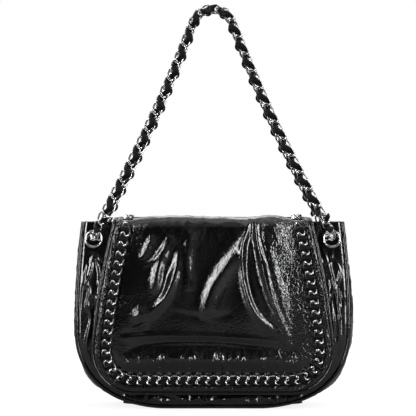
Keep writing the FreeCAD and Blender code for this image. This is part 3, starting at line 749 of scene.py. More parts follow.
flapFolds = [
    ([(253, 205), (249, 232), (244, 250), (246, 285), (258, 315), (286, 338)], 3.4, 3.2, -0.6),
    ([(255, 205), (258, 240), (264, 265), (273, 300), (288, 338)], 3.4, 4.6, -0.3),
    ([(253, 225), (256, 275), (270, 318)], 7.5, -2.4, 0),
    ([(249, 236), (239, 252), (223, 274), (211, 295), (206, 322)], 8.6, 4.2, 0),
    ([(172, 236), (166, 250), (159, 268), (154, 294)], 5.6, 3.0, 0),
    ([(180, 246), (176, 272), (166, 297), (148, 317)], 5.2, 3.2, 0),
    ([(164, 258), (163, 285), (155, 305)], 5.0, -1.6, 0),
    ([(153, 236), (141, 262)], 4.0, 1.8, 0),
    ([(165, 245), (152, 261), (136, 266)], 3.0, 1.4, 0.3),
    ([(191, 230), (187, 262), (189, 292)], 5.0, 1.9, 0),
    ([(262, 226), (270, 262), (280, 300), (288, 348)], 6.5, 1.8, 0),
    ([(122, 353), (150, 344), (205, 342), (255, 346), (294, 352)], 3.6, -1.6, 0),
    ([(162, 354), (160, 369)], 2.0, 1.7, 0),
    ([(196, 352), (197, 364)], 1.9, 1.4, 0),
    ([(216, 352), (217, 370)], 2.0, 2.0, 0),
    ([(221, 353), (222, 369)], 1.8, 1.8, 0),
    ([(243, 357), (242, 371)], 2.0, 1.6, 0),
    ([(263, 357), (262, 370)], 2.0, 1.7, 0),
    ([(118, 339), (160, 336), (230, 338), (282, 342)], 2.8, 1.2, 0),
    ([(120, 334), (150, 331)], 2.5, -0.9, 0),
    ([(148, 322), (133, 331)], 2.6, 1.2, 0),
    ([(170, 312), (205, 318), (235, 314)], 4.0, -0.8, 0),
]
flapBumps = [
    ((264, 272), (22, 56), 3.4),
    ((141, 315), (8, 8), 3.2),
    ((208, 362), (76, 10), 3.0),
]
crestWaves = [(-30, 38, 1.4), (42, 9, -1.6), (66, 16, 1.0)]  # X, width and height


def flapSwell(x, z):
    look = centreLook
    field = look["stand"] + cloud(look["swell"], x, z, 2) + cloud(look["fine"], x, z, 2)
    for row in flapFolds:
        field = field + fold(x, z, *row)
    for spot, radii, height in flapBumps:
        cx, cz = photoPoint(*spot)
        field = field + height * bell(x - cx, radii[0] * pixelSize) * bell(z - cz, radii[1] * pixelSize)
    low = bell(z - photoPoint(0, look["crackleY"])[1], look["crackleSpan"])
    field = field + creases(look["crackle"], x * 2.2, z * 0.45) * low
    return field + creases(look["grain"], x, z) * bell(x - look["grainX"], look["grainSpan"])


def flapCentre():
    look = centreLook
    frontZ, width = halfWidths(borderWidth + channelWidth, look["rows"])
    y, z, ny, nz = flapRun(frontZ)
    u = np.linspace(-1, 1, look["columns"])
    x = width[:, None] * u
    run = lengthAlong(asPoints(y, z))[:, None]
    turn = run[topRows + shoulderRows]
    level = shoulderZ + turn - run + 0 * u
    edge = np.minimum((1 - np.abs(u)) * width[:, None], np.abs(level - level[-1, 0]))
    growth = np.clip((run - look["hingeCalm"]) / look["hingeFade"], look["hingeShare"], 1)
    swell = np.clip(flapSwell(x, level) * growth, look["lowest"], look["highest"])
    swell = swell * (1 - bell(edge, look["edgeCalm"])) - look["edgeDip"] * bell(edge, look["edgeDipWidth"])
    wave = cloud(look["wave"], x, 0 * x + 0.4, 2)
    for middle, span, height in crestWaves:
        wave = wave + height * bell(x - middle, span)
    wave = wave + cloud(look["crestSwell"], x, level, 2) + creases(look["crestCrease"], x, level * 0.6)
    crest = fade(run - look["crestFrom"], look["crestGrow"])
    crest = crest * fade(turn + look["crestPast"] - run, look["crestFade"])
    rear = fade(look["rearEnd"] - run, look["rearFade"])
    swell = swell + crest * wave * (1 - bell(edge, look["crestCalm"])) - look["rearDrop"] * rear
    swell = np.maximum(swell, look["deepest"])
    push = asPoints(0, ny, nz)[:, None, :]
    shape = asPoints(x, y[:, None], z[:, None])
    piece = shellPiece("flapCentre", shape, push, swell, look, flapLeather, np.s_[::-1])
    overShoulder(piece, "flap_panel", "flap_top_panel")


# The flap's edge at an inset, from the hinge round the foot and back, with its outward way
def flapEdgeRun(inset, bottomRows=60, frontRows=120):
    frontZ, width = halfWidths(inset, frontRows)
    y, z, ny, nz = flapRun(frontZ)
    lowZ = np.full(bottomRows, flapNodes[0][1] + inset)
    lowX = np.linspace(0, width[-1], bottomRows, endpoint=False)
    low = asPoints(lowX, faceY(lowZ) - flapOut, lowZ)
    high = asPoints(width, y, z)[::-1]
    place = np.vstack([low, high])
    push = np.vstack([asPoints(0, *faceNormal(lowZ)), asPoints(0, ny, nz)[::-1]])
    mirror = (place * np.array([-1, 1, 1]))[::-1]
    return np.vstack([mirror[:-1], place]), np.vstack([push[::-1][:-1], push])


borderLook = {
    "lanes": 14, "inset": 3.5, "width": 7.2, "crown": 1.3, "sink": 0.7,
    "wrinkle": (0.9, 22, 121), "crease": (0.6, 15, 133), "skin": 0.8, "inside": -2.0,
}


def flapBorder():
    look = borderLook
    t = np.linspace(0, 1, look["lanes"])
    lanes = [flapEdgeRun(look["inset"] + look["width"] * k) for k in t]
    shape = np.stack([lane[0] for lane in lanes], axis=1)
    push = np.stack([lane[1] for lane in lanes], axis=1)
    along = lengthAlong(shape[:, look["lanes"] // 2])[:, None] + 0 * t
    across = look["width"] * t + 0 * along
    wrinkle = cloud(look["wrinkle"], along, across * 2.2)
    wrinkle = wrinkle + creases(look["crease"], along * 0.9, across * 1.2)
    crown = look["crown"] * (1 - (2 * t - 1) ** 2) ** 0.6
    swell = crown + wrinkle * np.sin(np.pi * t) - look["sink"]
    piece = shellPiece("flapBorder", shape, push, swell, look, borderLeather, np.s_[:, ::-1])
    overShoulder(piece, "flap_border")


backingLook = {
    "inset": 1.0, "rows": 90, "columns": 70,
    "topSink": -2.15, "frontSink": -1.0, "thick": 0.95, "ripple": (0.12, 25, 143),
}


def flapBacking():
    look = backingLook
    frontZ, width = halfWidths(look["inset"], look["rows"])
    y, z, ny, nz = flapRun(frontZ)
    x = width[:, None] * np.linspace(-1, 1, look["columns"])
    shape = asPoints(x, y[:, None], z[:, None])
    push = asPoints(0, ny, nz)[:, None, :]
    turn = np.concatenate([np.zeros(topRows), np.linspace(0, 1, shoulderRows), np.ones(len(frontZ))])
    high = (look["topSink"] + look["frontSink"] * turn)[:, None] + 0 * x
    ripple = cloud(look["ripple"], x, shape[..., 2] + shape[..., 1])
    outer = shape + push * high[..., None]
    inner = shape + push * (high - look["thick"] + ripple)[..., None]
    piece = sheetPiece("flapBacking", outer[::-1], inner[::-1], edgeLeather)
    overShoulder(piece, "flap_lining", "flap_top_lining")


# Piping round the body and the flap
pipingLook = {
    "points": 300, "inset": 2.5, "radius": 2.3, "sides": 12,
    "dent": 0.18, "dentSpan": 7.0, "dentLane": 0.37, "seed": 151,
}
flapCordLook = {
    "inset": 1.8, "sink": -1.2, "radius": 1.8, "sides": 10,
    "dent": 0.15, "dentSpan": 6.0, "dentLane": 0.41, "seed": 157,
}


def cordPiece(name, path, look, seed):
    count = len(path)
    dents = np.abs(noise2(np.arange(count) / look["dentSpan"], np.full(count, look["dentLane"]), seed))
    radius = look["radius"] - look["dent"] * dents
    way = unit(np.gradient(path, axis=0))
    angles = 2 * np.pi * np.arange(look["sides"])[:, None] / look["sides"]
    side = np.cross(way[0], np.array([0.3, 0.5, 0.8]))
    rings = []
    for place, ahead, size in zip(path, way, radius):
        side = unit(side - ahead * side.dot(ahead))
        over = np.cross(ahead, side)
        rings.append(place + size * (np.cos(angles) * side + np.sin(angles) * over))
    return tubePiece(name, np.array(rings), edgeLeather)


def edgeCords():
    inset = pipingLook["inset"]
    rim = evenly(fullOutline(bodyNodes, inset, [30, 30, 60, 60]), pipingLook["points"])
    for faceName, sign in bagFaces.items():
        path = asPoints(rim[:, 0], sign * (faceY(rim[:, 1]) + inset), rim[:, 1])
        piece = cordPiece("piping" + faceName, path, pipingLook, pipingLook["seed"] + sign)
        settle(piece, "bag", "patent_leather", faceName.lower() + "_piping")
    look = flapCordLook
    path, push = flapEdgeRun(look["inset"])
    piece = cordPiece("flapEdgeCord", path + push * look["sink"], look, look["seed"])
    overShoulder(piece, "flap_piping")


# Lining and mouth facing, rings of rounded oblongs
liningLook = {
    "inset": 4.9, "foot": 0, "below": 0.3, "rows": 86, "steps": [1, 10, 40, 50],
    "thick": 0.5, "floorRise": 0.5, "capped": True, "seed": 161,
}
facingLook = {
    "inset": 5.7, "foot": 189, "below": 0, "rows": 12, "steps": [1, 10, 40, 400],
    "thick": 0.8, "floorRise": 0.0, "capped": False, "seed": 163,
}
oblongLook = {"long": 110, "short": 26, "power": 14, "ripple": (0.4, 40), "rippleShare": 60, "hole": 9.2}


def loftPiece(name, look, material):
    rim = halfOutline(bodyNodes, look["inset"], look["steps"])[1:]
    rim = evenly(rim[rim[:, 1] > look["foot"]], look["rows"])
    rim[-1, 1] = bodyTop - look["below"]
    thick = look["thick"]
    depth = np.abs(faceY(rim[:, 1])) - look["inset"]
    side = np.linspace(-1, 1, oblongLook["long"])
    end = np.linspace(-1, 1, oblongLook["short"])[1:-1]
    around = [(s, -1) for s in side] + [(1, s) for s in end]
    around = np.array(around + [(s, 1) for s in side[::-1]] + [(-1, s) for s in end[::-1]])
    power = oblongLook["power"]
    around = around / (np.sum(np.abs(around) ** power, axis=1) ** (1 / power))[:, None]
    x = rim[:, :1] * around[:, 0]
    y = depth[:, None] * around[:, 1]
    z = rim[:, 1:] + 0 * x
    ripple = cloud((*oblongLook["ripple"], look["seed"]), x + y, z)
    pull = 1 - np.abs(ripple) / oblongLook["rippleShare"]
    outer = asPoints(x * pull, y * pull, z)
    inner = outer - np.column_stack([around * thick, np.zeros(len(around))])
    inner[:-1, :, 2] += thick * look["floorRise"]
    middle = cellMiddles(np.concatenate([outer, outer[:, :1]], axis=1))
    hole = np.hypot(np.abs(middle[..., 0]) - eyeletX, middle[..., 2] - eyeletZ) < oblongLook["hole"]
    return sheetPiece(name, outer, inner, material, hole, True, look["capped"])


pocketLook = {
    "foot": 70, "top": 160, "half": 60, "rows": 40, "columns": 50, "inset": 5.7,
    "gape": 1.6, "gapeFrom": 120, "ripple": (0.25, 30, 167), "near": 0.9, "far": 0.1,
}


def insidePocket():
    look = pocketLook
    z = np.linspace(look["foot"], look["top"], look["rows"])[:, None] + np.zeros(look["columns"])
    x = np.linspace(-look["half"], look["half"], look["columns"]) + 0 * z
    gape = fade(z - look["gapeFrom"], look["top"] - look["gapeFrom"]) ** 2
    gape = look["gape"] * gape * (1 - (x / look["half"]) ** 2)
    gape = np.maximum(gape + cloud(look["ripple"], x, z), 0)
    away = np.abs(faceY(z)) - look["inset"] - gape
    outer = asPoints(x, away - look["near"], z)
    inner = asPoints(x, away - look["far"], z)
    settle(sheetPiece("insidePocket", outer, inner, cloth), "bag", "lining_cloth", "inner_pocket")


def insideCloth():
    settle(loftPiece("insideLining", liningLook, cloth), "bag", "lining_cloth", "lining")
    settle(loftPiece("mouthFacing", facingLook, edgeLeather), "bag", "patent_leather", "mouth_facing")


# A fold of the lining at each end stands under the chain, behind the eyelets
pleatLook = {
    "rows": 48, "columns": 21, "farX": 139.0, "nearX": 108.0, "topZ": 182.2, "halfDepth": 9.0,
    "saddleHalf": 4.6, "saddleFade": 3, "sideRise": 8.0, "drop": 34.0, "hem": 1,
    "tailFrom": 0.6, "tailDrop": 42.0, "ripple": (0.8, 18, 187), "thick": 0.7,
}


def liningPleat(name, across):
    look = pleatLook
    t = np.linspace(0, 1, look["rows"])
    v = np.linspace(-1, 1, look["columns"])
    x = look["farX"] + (look["nearX"] - look["farX"]) * t
    saddle = fade(np.abs(x - eyeletX) - look["saddleHalf"], look["saddleFade"])
    crown = look["topZ"] + look["sideRise"] * saddle * saddle * (3 - 2 * saddle)
    tail = fade(t - look["tailFrom"], 1 - look["tailFrom"])
    crown = crown - look["tailDrop"] * tail ** 2
    low = look["topZ"] - look["drop"] - look["hem"]
    z = low + (crown - low)[:, None] * np.cos(0.5 * np.pi * np.abs(v)) ** 0.8
    x = x[:, None] + 0 * z
    y = look["halfDepth"] * v + cloud(look["ripple"], x, z)
    outer = asPoints(across * x, y, z)[::across]
    inner = outer - np.array([0, 0, look["thick"]])
    settle(sheetPiece(name, outer, inner, cloth), "bag", "lining_cloth")


# The tab at the back that carries the flap, from its seam over the mouth's edge
tabLook = {
    "foot": 179, "top": 203, "rows": 16, "stand": 1.7,
    "bend": [(31.9, 205.0), (31.4, 207.0), (29.4, 207.9), (26, 208.0), (22.5, 207.9)],
    "bendRows": 26, "half": 107, "columns": 90, "rowStep": 1.4, "ripple": (0.25, 18, 171),
    "footCalm": 8, "edgeDip": 0.5, "edgeDipWidth": 1.5,
    "skin": 0.5, "inside": -0.8,
}


def hingeStrip():
    look = tabLook
    z = np.linspace(look["foot"], look["top"], look["rows"])
    low = asPoints(np.abs(faceY(z)) + look["stand"], z)
    bend = smoothRoute([tuple(low[-1])] + look["bend"], look["bendRows"])
    path = np.vstack([low, bend[1:]])
    u = np.linspace(-1, 1, look["columns"])
    x = look["half"] * u + 0 * path[:, :1]
    way = unit(np.gradient(path, axis=0))
    push = asPoints(0, way[:, 1], -way[:, 0])[:, None, :]
    run = np.arange(len(path))[:, None] * look["rowStep"]
    bump = cloud(look["ripple"], x, run + 0 * x) * fade(run, look["footCalm"])
    bump = bump - look["edgeDip"] * bell((1 - np.abs(u)) * look["half"], look["edgeDipWidth"])
    shape = asPoints(x, path[:, :1], path[:, 1:])
    piece = shellPiece("hingeStrip", shape, push, bump, look, bodyLeather, np.s_[:, ::-1])
    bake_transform(piece)
    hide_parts("flap_seam_tab")


flapCentre()
flapBorder()
flapBacking()
edgeCords()
insideCloth()
insidePocket()
for sideName, across in bagSides.items():
    liningPleat("liningPleat" + sideName, across)
hingeStrip()
print("stage: flap leather, edges and inside")


# Node trees that set one shape at each point, turned by the point's aim and face
def turnAlong(tree):
    read = "GeometryNodeInputNamedAttribute"
    align = "FunctionNodeAlignRotationToVector"
    aim = addNode(tree, read, {"Name": "aim"}, data_type="FLOAT_VECTOR")
    face = addNode(tree, read, {"Name": "face"}, data_type="FLOAT_VECTOR")
    first = addNode(tree, align, {"Vector": aim}, axis="X")
    return addNode(tree, align, {"Rotation": first, "Vector": face}, axis="Z", pivot_axis="X")


def spreadTree(name, buildShape, sizes):
    tree = bpy.data.node_groups.new(name, "GeometryNodeTree")
    tree.interface.new_socket("Geometry", in_out="INPUT", socket_type="NodeSocketGeometry")
    for label, value in sizes.items():
        socket = tree.interface.new_socket(label, in_out="INPUT", socket_type="NodeSocketFloat")
        socket.default_value = value
    tree.interface.new_socket("Finish", in_out="INPUT", socket_type="NodeSocketMaterial")
    tree.interface.new_socket("Geometry", in_out="OUTPUT", socket_type="NodeSocketGeometry")
    source = addNode(tree, "NodeGroupInput").outputs
    inputs = {"Points": source["Geometry"], "Instance": buildShape(tree, source), "Rotation": turnAlong(tree)}
    place = addNode(tree, "GeometryNodeInstanceOnPoints", inputs)
    real = addNode(tree, "GeometryNodeRealizeInstances", {"Geometry": place})
    smooth = addNode(tree, "GeometryNodeSetShadeSmooth", {"Geometry": real})
    paint = addNode(tree, "GeometryNodeSetMaterial", {"Geometry": smooth, "Material": source["Finish"]})
    addNode(tree, "NodeGroupOutput", {"Geometry": paint})
    return tree


# A curb link is a ring that is stretched, slanted and twisted out of its plane
def curbLink(tree, source):
    loop = addNode(tree, "GeometryNodeCurvePrimitiveCircle", {"Resolution": 26, "Radius": 1})
    place = addNode(tree, "GeometryNodeInputPosition")
    ring = addNode(tree, "ShaderNodeSeparateXYZ", {"Vector": place}).outputs
    long = mathNode(tree, "MULTIPLY", ring["X"], source["Half length"])
    slant = mathNode(tree, "MULTIPLY", ring["Y"], source["Slant"])
    both = mathNode(tree, "MULTIPLY", mathNode(tree, "MULTIPLY", ring["X"], ring["Y"]), 2)
    sides = {
        "X": mathNode(tree, "ADD", long, slant),
        "Y": mathNode(tree, "MULTIPLY", ring["Y"], source["Half width"]),
        "Z": mathNode(tree, "MULTIPLY", both, source["Twist"]),
    }
    joined = addNode(tree, "ShaderNodeCombineXYZ", sides)
    moved = addNode(tree, "GeometryNodeSetPosition", {"Geometry": loop, "Position": joined})
    section = {"Resolution": 8, "Radius": source["Wire radius"]}
    wire = addNode(tree, "GeometryNodeCurvePrimitiveCircle", section)
    return addNode(tree, "GeometryNodeCurveToMesh", {"Curve": moved, "Profile Curve": wire}).outputs["Mesh"]


def stitchShape(tree, source):
    ball = addNode(tree, "GeometryNodeMeshUVSphere", {"Segments": 6, "Rings": 5, "Radius": 1})
    thick = source["Thread radius"]
    size = addNode(tree, "ShaderNodeCombineXYZ", {"X": source["Stitch half length"], "Y": thick, "Z": thick})
    return addNode(tree, "GeometryNodeTransform", {"Geometry": ball, "Scale": size}).outputs["Geometry"]


def spreadPiece(name, tree, places, aims, faces, finish, values):
    mesh = bpy.data.meshes.new(name)
    mesh.from_pydata([tuple(p) for p in np.asarray(places) * mm], [], [])
    for label, vectors in (("aim", aims), ("face", faces)):
        attribute = mesh.attributes.new(label, "FLOAT_VECTOR", "POINT")
        attribute.data.foreach_set("vector", np.asarray(vectors, np.float32).ravel())
    seat = addObject(name + ".seat", mesh)
    modifier = seat.modifiers.new("spread", "NODES")
    modifier.node_group = tree
    values = dict(values, Finish=finish)
    for item in tree.interface.items_tree:
        if item.in_out == "INPUT" and item.name in values:
            modifier[item.identifier] = values[item.name]
    depsgraph = bpy.context.evaluated_depsgraph_get()
    result = bpy.data.meshes.new_from_object(seat.evaluated_get(depsgraph))
    result.name = name
    seat.modifiers.remove(modifier)
    bpy.data.objects.remove(seat)
    for label in ("aim", "face"):
        if label in result.attributes:
            result.attributes.remove(result.attributes[label])
    return addObject(name, result)


# Link and stitch sizes, in metres
linkSizes = {
    "Half length": 0.0066, "Half width": 0.0042, "Slant": 0.0024, "Twist": 0.0022, "Wire radius": 0.00098,
}
stitchSizes = {"Stitch half length": 0.0013, "Thread radius": 0.00038}
chainTree = spreadTree("curbChain", curbLink, linkSizes)
stitchTree = spreadTree("stitchRow", stitchShape, stitchSizes)


def spansOf(points, outs):
    points = np.asarray(points, float)
    outs = np.asarray(outs, float)
    return 0.5 * (points[1:] + points[:-1]), unit(np.diff(points, axis=0)), 0.5 * (outs[1:] + outs[:-1])


# One strand from its right eyelets over the bend at the top to the left, with its outward and upward ways
def strapRoute(along):
    flip = np.array([1, along, 1])
    start = strapStart * flip
    apex = strapApex * flip
    back = unit(start - apex)
    cross = np.array([-1.0, 0, 0])
    halfTurn = 0.5 * (math.pi - math.acos(back.dot(cross)))
    first = apex + back * (strapBend * math.tan(halfTurn))
    centre = apex + unit(back + cross) * (strapBend / math.cos(halfTurn))
    a = np.linspace(0, 2 * halfTurn, strapSteps)[:, None]
    arc = centre + (first - centre) * np.cos(a) - back * strapBend * np.sin(a)
    under = unit(cross - back * cross.dot(back))
    t = np.linspace(0, 1, strapSteps, endpoint=False)[:, None]
    strand = start + (first - start) * t + under * (strapSag * np.sin(np.pi * t))
    half = np.vstack([strand, arc])
    route = np.vstack([half, (half * np.array([-1, 1, 1]))[::-1]])
    out = unit(np.cross(cross, back))
    if out[1] * along > 0:
        out = -out
    return route, out, -back


# A flat lace that winds over and under the links
laceSection = [(-1, 0), (-0.86, 0.75), (-0.4, 1), (0, 1.06), (0.4, 1),
               (0.86, 0.75), (1, 0), (0.86, -0.75), (0, -0.9), (-0.86, -0.75)]
lacePerLink = 16


def laceRibbon(name, points, outs, look, flip):
    count = len(points)
    stations = np.arange((count - 1) * lacePerLink + 1) / lacePerLink
    base = sampled(stations, np.arange(count), points)
    for _ in range(3):
        base[1:-1] = 0.25 * base[:-2] + 0.5 * base[1:-1] + 0.25 * base[2:]
    out = unit(sampled(stations, np.arange(count), outs))
    side = np.cross(out, unit(np.gradient(base, axis=0)))
    turn = np.pi * stations * look["turns"]
    phase = np.cos(turn)
    rise = look["laceSeat"] + look["laceSwing"] * np.sign(phase) * np.abs(phase) ** 0.75
    sway = np.where(phase > 0, look["laceSway"], look["laceUnderSway"])
    sideways = flip * (sway * phase + look["laceSlide"] * np.sin(turn))
    centre = base + out * rise[:, None] + side * sideways[:, None]
    path = unit(np.gradient(centre, axis=0))
    lean = unit(side - path * np.sum(side * path, axis=1, keepdims=True))
    up = np.cross(path, lean)
    broad = np.abs(phase) ** 0.6
    half = lean * (0.5 * look["laceWidth"] * (0.6 + 0.4 * broad))[:, None]
    deep = up * (0.5 * look["laceThick"] * (1.3 - 0.3 * broad))[:, None]
    rings = np.stack([centre + half * a + deep * b for a, b in reversed(laceSection)], axis=1)
    return tubePiece(name, rings, lace, 60)


strapLook = {
    "links": 51, "turns": 1, "laceSeat": 0.0, "laceSwing": 3.6, "laceSway": 3.0,
    "laceUnderSway": 0.8, "laceSlide": 1.6, "laceWidth": 7.6, "laceThick": 2.4,
}
strapSizes = dict(linkSizes, **{"Half width": 0.0039, "Slant": 0.0026, "Wire radius": 0.00105})
for faceName, along in bagFaces.items():
    body = "strap_" + faceName.lower()
    route, out, upward = strapRoute(along)
    points = evenly(route, strapLook["links"] + 1)
    outs = np.tile(out, (len(points), 1))
    chain = spreadPiece("strapChain" + faceName, chainTree, *spansOf(points, outs), silver, strapSizes)
    settle(chain, body, "silver_metal", body + "_chain")
    strip = laceRibbon("strapLace" + faceName, points, outs, strapLook, along)
    settle(strip, body, "lace_leather", body + "_lace")
    for piece in (chain, strip):
        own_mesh(piece)
print("stage: strap chains and laces")

# Chain ends, through the eyelets and across the inside, with a short end of lace below each strand
endLook = {"linksBelow": 2, "insideZ": 185.67, "insideInset": 2.3, "laceSteps": (0.35, 1.2, 2.05)}
downward = np.array([0, 0, -1.0])


def chainEnd(along):
    route, out, upward = strapRoute(along)
    start = route[0]
    outer = start - upward * endLook["linksBelow"] * linkPitch
    inner = np.array([eyeletX, along * (float(faceY(eyeletZ)) + endLook["insideInset"]), endLook["insideZ"]])
    return [start, 0.5 * (start + outer), outer, inner], [out, out, out, np.array([0, -along * 0.5, -0.5])]


frontRun, frontOuts = chainEnd(1)
backRun, backOuts = chainEnd(-1)
gap = backRun[-1] - frontRun[-1]
insideLinks = int(round(np.linalg.norm(gap) / linkPitch))
insideRun = [frontRun[-1] + gap * (k / insideLinks) for k in range(1, insideLinks)]
bridgeRun = np.array(frontRun + insideRun + backRun[::-1])
bridgeOuts = frontOuts + [downward] * len(insideRun) + backOuts[::-1]
for sideName, across in bagSides.items():
    flip = np.array([across, 1, 1])
    spans = spansOf(bridgeRun * flip, bridgeOuts)
    piece = spreadPiece("bridgeChain" + sideName, chainTree, *spans, silver, linkSizes)
    settle(piece, "bag", "silver_metal", sideName.lower() + "_bridge_chain")
    for faceName, along in bagFaces.items():
        route, out, upward = strapRoute(along)
        steps = np.array(endLook["laceSteps"])[:, None] * linkPitch
        points = (route[0] - upward * steps) * flip
        outs = np.tile(out, (len(points), 1))
        strip = laceRibbon("laceTail" + sideName + faceName, points, outs, strapLook, along)
        settle(strip, "bag", "lace_leather")
print("stage: chain ends")

# Rolled eyelets, one ring turned round each hole
eyeletLook = {
    "hole": 7.4, "barrel": 8.2, "outer": 10.2, "rise": 2.0, "shoulder": 0.4,
    "seat": 0.15, "depth": 6.6, "around": 72,
}


def eyeletRing(name, node, across, along):
    look = eyeletLook
    crown = 0.5 * (look["outer"] - look["hole"])
    profile = [(look["hole"], -look["depth"])]
    for a in np.linspace(np.pi, 0, 13):
        high = look["shoulder"] + (look["rise"] - look["shoulder"]) * np.sin(a)
        profile.append((look["hole"] + crown + crown * np.cos(a), high))
    profile += [(look["outer"], 0), (look["barrel"], 0), (look["barrel"], -look["depth"])]
    ny, nz = faceNormal(eyeletZ)
    out = np.array([0, along * ny, nz])
    right = np.array([1.0, 0, 0])
    up = np.cross(out, right)
    centre = np.array([across * eyeletX, along * faceY(eyeletZ), eyeletZ]) + out * look["seat"]
    a = 2 * np.pi * np.arange(look["around"])[:, None] / look["around"]
    spoke = right * np.cos(a) + up * np.sin(a)
    rings = np.stack([centre + spoke * radius + out * high for radius, high in profile], axis=1)
    ring = tubePiece(name, rings, silver, 50, True)
    fixFacing(ring)
    settle(ring, "bag", "silver_metal", node)


for sideName, across in bagSides.items():
    for faceName, along in bagFaces.items():
        words = sideName.lower(), faceName.lower()
        eyeletRing(".".join(("eyeletRing", *words)), "_".join(("eyelet", *words)), across, along)
print("stage: eyelets")

# Chain trim round the flap, with two short runs on its top
trimLook = {
    "stand": -10.9, "links": 51, "turns": 2, "laceSeat": 0.1, "laceSwing": -2.3, "laceSway": 0.3,
    "laceUnderSway": 0.3, "laceSlide": 0.6, "laceWidth": 10.6, "laceThick": 1.5,
}
topTrimLook = {"x": 92.5, "firstY": -23.9, "step": 10.7, "points": 5, "z": 208.5}
trimRim = evenly(fullOutline(flapNodes, trimInset, [30, 60, 80]), trimLook["links"] + 1)
trimZ = trimRim[:, 1]
trimPoints = asPoints(trimRim[:, 0], faceY(trimZ) + trimLook["stand"], trimZ)
trimOuts = asPoints(0, *faceNormal(trimZ))
trimSizes = dict(linkSizes, **{"Wire radius": 0.00115, "Slant": 0.0031, "Twist": 0.0027})
piece = spreadPiece("flapTrimChain", chainTree, *spansOf(trimPoints, trimOuts), silver, trimSizes)
settle(piece, "flap_front", "silver_metal", "flap_trim_chain")
piece = laceRibbon("flapTrimLace", trimPoints, trimOuts, trimLook, 1)
settle(piece, "flap_front", "lace_leather", "flap_trim_lace")
topRuns = []
for across in (-1, 1):
    topY = topTrimLook["firstY"] + topTrimLook["step"] * np.arange(topTrimLook["points"])
    run = [(across * topTrimLook["x"], y, topTrimLook["z"]) for y in topY]
    topRuns.append(spansOf(run, [-downward] * len(run)))
spans = [np.vstack(part) for part in zip(*topRuns)]
piece = spreadPiece("flapTopTrim", chainTree, *spans, silver, linkSizes)
settle(piece, "flap_top", "silver_metal", "flap_top_trim_chain")
print("stage: flap chain trim")

# Two rows of stitches on the flap's border
stitchLook = {"insets": (4.9, 9.4), "pitch": 3.4, "height": 0.5}


def stitchRow(inset):
    path, push = flapEdgeRun(inset)
    pitch = stitchLook["pitch"]
    along = lengthAlong(path)
    wanted = np.arange(pitch, along[-1] - pitch, pitch)
    place = sampled(wanted, along, path)
    face = unit(sampled(wanted, along, push))
    return place + face * stitchLook["height"], unit(np.gradient(place, axis=0)), face


rows = zip(*[stitchRow(inset) for inset in stitchLook["insets"]])
piece = spreadPiece("flapStitches", stitchTree, *[np.vstack(row) for row in rows], thread, stitchSizes)
overShoulder(piece)
print("stage: stitches")

# Camera, level and straight on as in the photograph
cameraLook = {"lens": 144.4, "sensor": 36, "place": (-0.0052, -1.85, 0.218), "tilt": 90}
cameraData = bpy.data.cameras.new("camera")
cameraData.sensor_width = cameraLook["sensor"]
cameraData.lens = cameraLook["lens"]
camera = addObject("camera", cameraData)
camera.location = cameraLook["place"]
camera.rotation_euler = (math.radians(cameraLook["tilt"]), 0, 0)
scene.camera = camera

# Tall strips on both sides of the bag, as place, aim, width, height and power
lampLooks = {
    "lampLeft": ((-1.05, -1.2, 0.85), (0, 0, 0.13), 0.2, 1.6, 16),
    "lampRight": ((1.1, -1.1, 0.85), (0, 0, 0.13), 0.24, 1.6, 18),
    "lampTop": ((0.0, 1.0, 1.45), (0, 0, 0.15), 1.0, 0.6, 5),
    "lampBack": ((0.95, 1.15, 0.85), (0, 0, 0.13), 0.14, 1.4, 6),
    "lampBackLeft": ((-1.05, 1.1, 0.85), (0, 0, 0.13), 0.12, 1.4, 5),
}
for name, (place, aim, width, height, power) in lampLooks.items():
    data = bpy.data.lights.new(name, "AREA")
    data.shape = "RECTANGLE"
    data.size = width
    data.size_y = height
    data.energy = power
    lamp = addObject(name, data)
    lamp.location = place
    lamp.rotation_euler = (Vector(aim) - Vector(place)).to_track_quat("-Z", "Y").to_euler()

# The room is white to the camera and dimmer, with soft patches, to what the leather mirrors
roomLook = {"lift": (0.35, 1.0, 0.0, 0.9), "patch": (0.45, 0.7, 0.0, 0.4), "patchScale": 2.2, "fill": 0.15}
world = bpy.data.worlds.new("studio")
scene.world = world
world.use_nodes = True
sky = world.node_tree
sky.nodes.clear()
skyPlace = addNode(sky, "ShaderNodeTexCoord").outputs["Generated"]
skyAxes = addNode(sky, "ShaderNodeSeparateXYZ", {"Vector": skyPlace}).outputs
skyLean = mathNode(sky, "MULTIPLY", skyAxes["Y"], 0.5)
skyLean = mathNode(sky, "ADD", skyLean, mathNode(sky, "MULTIPLY", skyAxes["Z"], 0.87))
skyLift = ramp(sky, skyLean, *roomLook["lift"], True)
skyPatch = ramp(sky, noiseNode(sky, skyPlace, roomLook["patchScale"], 3.0), *roomLook["patch"], True)
rays = addNode(sky, "ShaderNodeLightPath").outputs
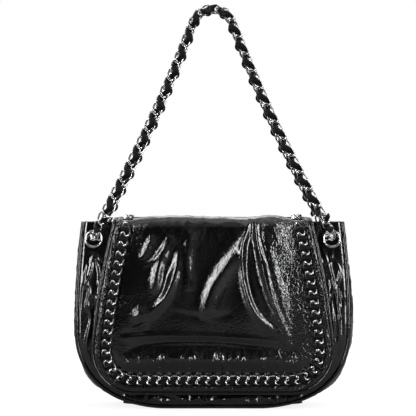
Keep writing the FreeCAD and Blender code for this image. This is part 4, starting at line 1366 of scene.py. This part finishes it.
seen = mathNode(sky, "MAXIMUM", rays["Is Camera Ray"], rays["Is Transmission Ray"])
mirrored = mathNode(sky, "MULTIPLY", rays["Is Glossy Ray"], mathNode(sky, "ADD", skyLift, skyPatch))
plain = mathNode(sky, "SUBTRACT", 1, rays["Is Glossy Ray"])
fill = mathNode(sky, "MULTIPLY", plain, roomLook["fill"])
level = mathNode(sky, "MAXIMUM", mathNode(sky, "MAXIMUM", seen, mirrored), fill)
glow = addNode(sky, "ShaderNodeBackground", {"Color": (1, 1, 1, 1), "Strength": level})
addNode(sky, "ShaderNodeOutputWorld", {"Surface": glow})

# A pale floor that shows from above only, so the underside can be looked at
floorLook = {"half": 4, "tone": 0.22, "rough": 0.9, "fade": (0.2, 1.0, 0.86, 1.0)}
half = floorLook["half"]
corners = [(-half, -half, 0), (half, -half, 0), (half, half, 0), (-half, half, 0)]
floorMesh = bpy.data.meshes.new("floor")
floorMesh.from_pydata(corners, [], [(0, 1, 2, 3)])
floor = addObject("floor", floorMesh)
floorValues = {
    "Base Color": (*[floorLook["tone"]] * 3, 1),
    "Roughness": floorLook["rough"],
    "Emission Color": (1, 1, 1, 1),
}
floorMat, floorTree, floorShader = newMaterial("floor_pale", floorValues)
floorAway = addNode(floorTree, "ShaderNodeVectorMath", {0: objectPlace(floorTree)}, operation="LENGTH")
floorFade = ramp(floorTree, floorAway.outputs["Value"], *floorLook["fade"], True)
floorRays = addNode(floorTree, "ShaderNodeLightPath").outputs
floorGlow = mathNode(floorTree, "MULTIPLY", floorRays["Is Camera Ray"], floorFade)
floorTree.links.new(floorGlow, floorShader.inputs["Emission Strength"])
floorSides = {
    "Fac": addNode(floorTree, "ShaderNodeNewGeometry").outputs["Backfacing"],
    1: floorShader,
    2: addNode(floorTree, "ShaderNodeBsdfTransparent"),
}
floorMix = addNode(floorTree, "ShaderNodeMixShader", floorSides)
floorTree.links.new(floorMix.outputs["Shader"], floorTree.nodes["Material Output"].inputs["Surface"])
floor.data.materials.append(floorMat)
print("stage: camera and studio")
